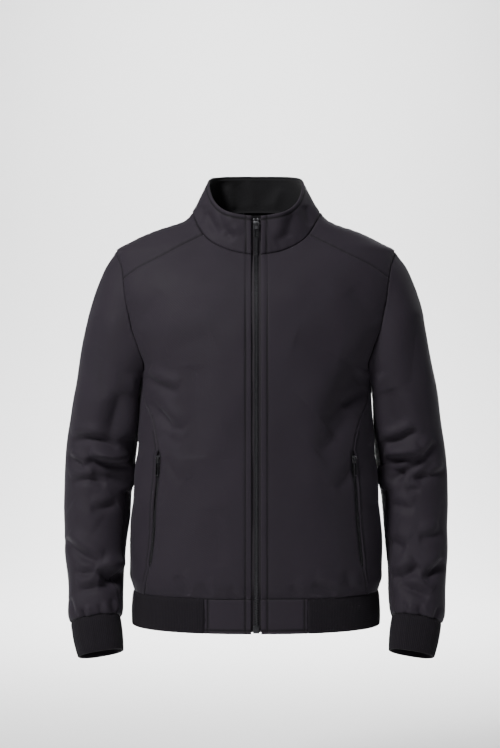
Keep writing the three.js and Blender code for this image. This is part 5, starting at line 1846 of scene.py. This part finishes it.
@dataclass
class Chain:
    """A zip's two rows of teeth, as one piece. One tooth is modelled and copied."""

    pitch: float = 2.6
    reach: float = 3.1  # from the middle to a tooth's outer end
    hook: float = 0.9  # how far a tooth's head passes the middle
    height: float = 1.35
    bevel: float = 0.16
    waist: float = 0.38  # how much narrower a tooth's middle is, as a share of its height
    taper: float = 0.25

    def tooth(self) -> tuple[Array, list[list[int]]]:
        """A tooth of the left row, with its depth from 0 to 1 along Y."""
        obj = bar("tooth", (-self.hook, 0, -self.height / 2), (self.reach, 1, self.height / 2), self.bevel, 1)
        points = points_of(obj) / MM
        share = np.clip((points[:, 0] + self.hook) / (self.reach + self.hook), 0, 1)
        waist = self.waist * np.sin(np.pi * np.clip(share * 1.5 - 0.25, 0, 1))
        points[:, 2] *= 1 - waist - self.taper * share**4
        return points, faces_taken(obj)

    def build(self, name: str, line: ZipLine, high: float, low: float, material: Material) -> Piece:
        """Sets the teeth along a line.

        Args:
            name: the piece's name.
            line: gives, for heights, the middle of the chain's outer face, the way to the side,
                the way out and the chain's depth.
            high: the height of the first tooth.
            low: the height of the last.
            material: the teeth's finish.

        Returns:
            The piece.
        """
        one, faces = self.tooth()
        count = int((high - low) / (self.pitch / 2))
        at, side, out, depth = line(np.linspace(high, low, count))
        up = np.cross(side, out)
        points, polygons = [], []
        for k in range(count):
            way = 1 if k % 2 else -1
            frame = np.stack([side[k] * way, -out[k], up[k]])
            points.append(at[k] + (one * (1, depth[k], 1)) @ frame)
            turn = 1 if np.linalg.det(frame) > 0 else -1
            polygons += [[k * len(one) + i for i in face[::turn]] for face in faces]
        return piece_of_copies(name, points, polygons, material, 30)


@dataclass
class Zips:
    """The centre zip and the two pocket zips: tapes, teeth, stops and the metal pieces."""

    cloths: Cloths
    tape_half: float = 12.0
    pocket_half: float = 9.0
    pocket_depth: float = 4.0
    tape_thick: float = 0.9
    bead: float = 0.45
    columns: int = 33  # lines of points across a tape
    bead_at: float = 3.1
    bead_width: float = 0.6
    softening: float = 0.28  # width of the metal pieces' bevels

    def front_y(self, z: Array) -> Array:
        """The cloth's outer face beside the zip."""
        neck_x, neck_z = FRONT_NECKLINE[0]
        neck_y = float(TORSO_FORM.y(neck_x, neck_z, False))
        top_y, top_z = COLLAR_TOP[0][1], COLLAR_TOP[0][2]
        collar = neck_y + (top_y - neck_y) * (z - neck_z) / (top_z - neck_z)
        return np.where(z > neck_z, collar, TORSO_FORM.y(FRONT_EDGE_X + 0 * z, z, False))

    def front_line(self, z: Array) -> tuple[Array, Array, Array, Array]:
        """The centre chain's outer face, its side and out directions and its depth."""
        depth = np.interp(z, *FRONT_ZIP_DEPTHS)
        at = np.stack([0 * z, self.front_y(z) + CHAIN_DEPTH, z], -1)
        side = np.broadcast_to(np.array([1.0, 0, 0]), at.shape)
        slope = np.gradient(self.front_y(z), z)
        out = unit(np.stack([0 * z, -1 + 0 * z, slope], -1))
        return at, side, out, depth - CHAIN_DEPTH + TEETH_SUNK

    def pocket_line(self, side: int, z: Array) -> tuple[Array, Array, Array, Array]:
        """A pocket chain's outer face, its directions and its depth."""
        seam = pocket_edge().places[::-1]
        x = np.interp(z, seam[:, 1], seam[:, 0])
        at = TORSO_FORM.points(x, z, False)
        out = TORSO_FORM.normal(at)
        up = unit(np.gradient(at, axis=0) * np.sign(z[1] - z[0]))
        across = unit(np.cross(up, out))
        at = mirrored(at - out * CHAIN_DEPTH, side)
        ways = (mirrored(across, side), mirrored(out, side))
        return at, *ways, self.pocket_depth - CHAIN_DEPTH + TEETH_SUNK + 0 * z

    def tape(
        self,
        name: str,
        line: ZipLine,
        ends: tuple[float, float],
        half: float,
        node: str,
        with_pieces: list[Piece],
        sewn_to: list[str],
    ) -> None:
        """A zip's tape, with a bead along each side of the chain.

        Args:
            name: the piece's name.
            line: as for a chain.
            ends: the heights of its upper and lower ends.
            half: half its width.
            node: the CAD node that it replaces.
            with_pieces: the teeth on it.
            sewn_to: the CAD nodes whose cloth it is sewn to.
        """
        high, low = ends
        z = high - (high - low) * stations(high - low, cell=4.0)
        at, side, out, depth = line(z)
        x = np.linspace(-half, half, self.columns)
        bead = self.bead * bell(np.abs(x) - self.bead_at, self.bead_width)
        face = (at - out * (depth - TEETH_SUNK)[:, None])[:, None] + side[:, None] * x[None, :, None]
        outer = face + out[:, None] * bead[None, :, None]
        inner = face - out[:, None] * self.tape_thick
        uv = np.stack([x[None] + 0 * z[:, None], z[:, None] + 0 * x[None]], -1) * MM
        weave = self.cloths.tape
        piece = wall(name, outer, inner, uv, {}, (weave, weave), angle=60)
        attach(piece, BODY)
        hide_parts(node)
        size = (round(2 * half * MM, 4), round((high - low) * MM, 3))
        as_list(sewn_to)
        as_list(with_pieces)

    def metal(self, node: str, body: str, material: Material) -> None:
        """A metal piece with its CAD solid's form and softened edges."""
        mesh = bpy.context.scene.objects[node].data.copy()
        obj = bpy.data.objects.new(f"{node}_metal", mesh)
        bpy.context.collection.objects.link(obj)
        only(obj)
        with editing():
            bpy.ops.mesh.remove_doubles(threshold=1e-5)
            bpy.ops.mesh.dissolve_limited(angle_limit=math.radians(1))
        bevel = obj.modifiers.new("softened", "BEVEL")
        bevel.width, bevel.segments, bevel.limit_method = self.softening * MM, 2, "ANGLE"
        bevel.angle_limit = math.radians(35)
        bpy.ops.object.modifier_apply(modifier=bevel.name)
        mesh.materials.clear()
        mesh.materials.append(material)
        smooth_by(obj, 35)
        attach(obj, body)
        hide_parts(node)

    def box(self) -> None:
        """The box at the foot of the centre zip, and the stops at its head."""
        foot, head = (float(self.front_y(np.array([z]))[0]) for z in (BOX_FACE_Z, STOP_FACE_Z))
        low, high = (-BOX_HALF, foot - 0.4, BOX_BOTTOM_Z), (BOX_HALF, foot + 3.6, BOX_TOP_Z)
        self.finish_metal(bar("front_zip_box", low, high, 0.7, 3), self.cloths.pull)
        for word, x in (("right", -4.6), ("left", 1.2)):
            low, high = (x, head + 0.6, STOP_BOTTOM_Z), (x + STOP_WIDTH, head + 4.4, STOP_TOP_Z)
            self.finish_metal(bar(f"front_zip_stop_{word}", low, high, 0.4), self.cloths.metal)

    def finish_metal(self, piece: Piece, material: Material) -> None:
        """Finishes and smooths a small metal piece, and puts it on the body."""
        piece.data.materials.append(material)
        smooth_by(piece, 40)
        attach(piece, BODY)

    def build(self) -> None:
        """Builds the three zips."""
        span = (TEETH_TOP_Z, TEETH_BOTTOM_Z)
        teeth = Chain().build("front_zip_teeth", self.front_line, *span, self.cloths.teeth)
        ends = (ZIP_TOP_Z, ZIP_BOTTOM_Z)
        fronts = ["front_right", "front_left"]
        self.tape("front_zip_tape", self.front_line, ends, self.tape_half, "front_zip", [teeth], fronts)
        self.box()
        self.metal("front_slider", BODY, self.cloths.metal)
        self.metal("front_pull", "front_pull", self.cloths.pull)
        small = Chain(pitch=1.9, reach=2.2, hook=0.6, height=0.95)
        for word, side in SIDES:
            line = partial(self.pocket_line, side)
            node = f"pocket_zip_{word}"
            span = (POCKET_TOP_Z - POCKET_TEETH_DROP, POCKET_BOTTOM_Z + 1)
            teeth = small.build(f"{node}_teeth", line, *span, self.cloths.teeth)
            ends = (POCKET_TOP_Z + POCKET_TAPE_PAST, POCKET_BOTTOM_Z - POCKET_TAPE_PAST)
            sides = [f"side_panel_{word}", f"front_{word}"]
            self.tape(f"{node}_tape", line, ends, self.pocket_half, node, [teeth], sides)
            self.metal(f"pocket_{word}_slider", BODY, self.cloths.metal)
            self.metal(f"pocket_{word}_pull", f"pocket_{word}_pull", self.cloths.pull)


@dataclass(frozen=True)
class Backdrop(Finish):
    """The plain pale paint of the floor and the sweep behind it."""

    name: str = "pale_backdrop"
    dark: tuple = (0.8471, 0.8471, 0.8471)
    light: tuple = (0.86, 0.86, 0.86)

    def lay(self, sheet: NodeSheet) -> None:
        """Sets the shader's colour, roughness and relief."""
        cloud = sheet.noise(sheet.mapped(uv=False), 1.2, 2)
        sheet.paint(Base_Color=sheet.mixed(cloud, self.dark, self.light), Roughness=0.9)


@dataclass(frozen=True)
class Lamp:
    """A soft square lamp that faces the jacket's middle or another target. Places are in metres."""

    name: str
    place: tuple[float, float, float]
    size: float
    power: float
    target: tuple[float, float, float] = (0, 0, -0.3)
    spread: float = 180.0  # degrees


LAMPS = (
    Lamp("key", (-1.75, -2.15, 2.05), 0.8, 156),
    Lamp("fill", (2.4, -1.9, 0.2), 2.0, 3),
    Lamp("top", (0.1, 0.4, 2.1), 1.6, 3),
    Lamp("back", (1.6, 2.4, 1.2), 1.6, 22),
    Lamp("wall", (0.0, 2.0, 3.2), 2.6, 128, (0, 4.4, 0.0), 75),
    Lamp("floor", (0.0, 2.3, 2.6), 2.0, 66, (0, 2.3, -1.0), 62),
)


@dataclass
class Studio:
    """The camera, the soft lights and the pale floor with its sweep. Sizes are in metres."""

    distance: float = 2.6
    camera_x: float = -0.0097
    camera_z: float = -0.262
    lens: float = 77.05
    sky: tuple = (0.93, 0.94, 1.0, 1)
    sky_strength: float = 0.15
    floor_z: float = -1.05
    sweep_start: float = 3.2  # past the camera's distance, so that views from behind stay clear
    sweep_radius: float = 1.2
    floor_front: float = -7.0
    floor_half: float = 8.0
    wall_height: float = 4.0

    def light(self, lamp: Lamp) -> None:
        """Hangs a lamp and aims it."""
        data = bpy.data.lights.new(lamp.name, "AREA")
        data.shape, data.size, data.energy = "SQUARE", lamp.size, lamp.power
        data.spread = math.radians(lamp.spread)
        obj = bpy.data.objects.new(lamp.name, data)
        obj.location = lamp.place
        aim = Vector(lamp.target) - Vector(lamp.place)
        obj.rotation_euler = aim.to_track_quat("-Z", "Y").to_euler()
        bpy.context.collection.objects.link(obj)

    def sweep(self) -> None:
        """The floor, which curves up into a wall."""
        bpy.ops.object.select_all(action="DESELECT")
        bpy.ops.mesh.primitive_grid_add(x_subdivisions=2, y_subdivisions=60, size=2)
        obj = bpy.context.object
        obj.name = obj.data.name = "floor"
        flat = points_of(obj)
        t = (flat[:, 1] + 1) / 2
        start, radius, front = self.sweep_start, self.sweep_radius, self.floor_front
        bend = radius * math.pi / 2
        run = t * (start - front + bend + self.wall_height)
        turn = np.clip((run - (start - front)) / radius, 0, math.pi / 2)
        rise = np.clip(run - (start - front) - bend, 0, None)
        y = np.minimum(front + run, start) + radius * np.sin(turn)
        z = self.floor_z + radius * (1 - np.cos(turn)) + rise
        move_points(obj, np.stack([flat[:, 0] * self.floor_half, y, z], -1))
        obj.data.update()
        obj.data.materials.append(Backdrop().material())
        only(obj)
        bpy.ops.object.shade_smooth()

    def build(self) -> None:
        """Sets up the studio."""
        data = bpy.data.cameras.new("camera")
        data.lens, data.sensor_width, data.clip_end = self.lens, 36, 50
        camera = bpy.data.objects.new("camera", data)
        camera.location = (self.camera_x, -self.distance, self.camera_z)
        camera.rotation_euler = (math.pi / 2, 0, 0)
        bpy.context.collection.objects.link(camera)
        bpy.context.scene.camera = camera
        world = bpy.data.worlds.new("studio")
        world.use_nodes = True
        background = world.node_tree.nodes["Background"].inputs
        background["Color"].default_value = self.sky
        background["Strength"].default_value = self.sky_strength
        bpy.context.scene.world = world
        for lamp in LAMPS:
            self.light(lamp)
        self.sweep()


def main() -> None:
    """Builds the studio and each sub-assembly in order."""
    cloths = Cloths(
        face=Softshell().material(),
        inside=Fleece().material(),
        rib=RibKnit().material(),
        tape=WovenTape().material(),
        thread=Thread().material(),
        metal=GUNMETAL.material(),
        pull=DARK_METAL.material(),
        teeth=TEETH.material(),
    )
    Studio().build()
    for assembly in (Shell, Collar, Tabs, Sleeves, Ribs, Zips):
        assembly(cloths).build()
        LOG.info("%s done", assembly.__name__)


if __name__ == "__main__":
    logging.basicConfig(level=logging.INFO, format="%(name)s: %(message)s")
    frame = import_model()
    main()
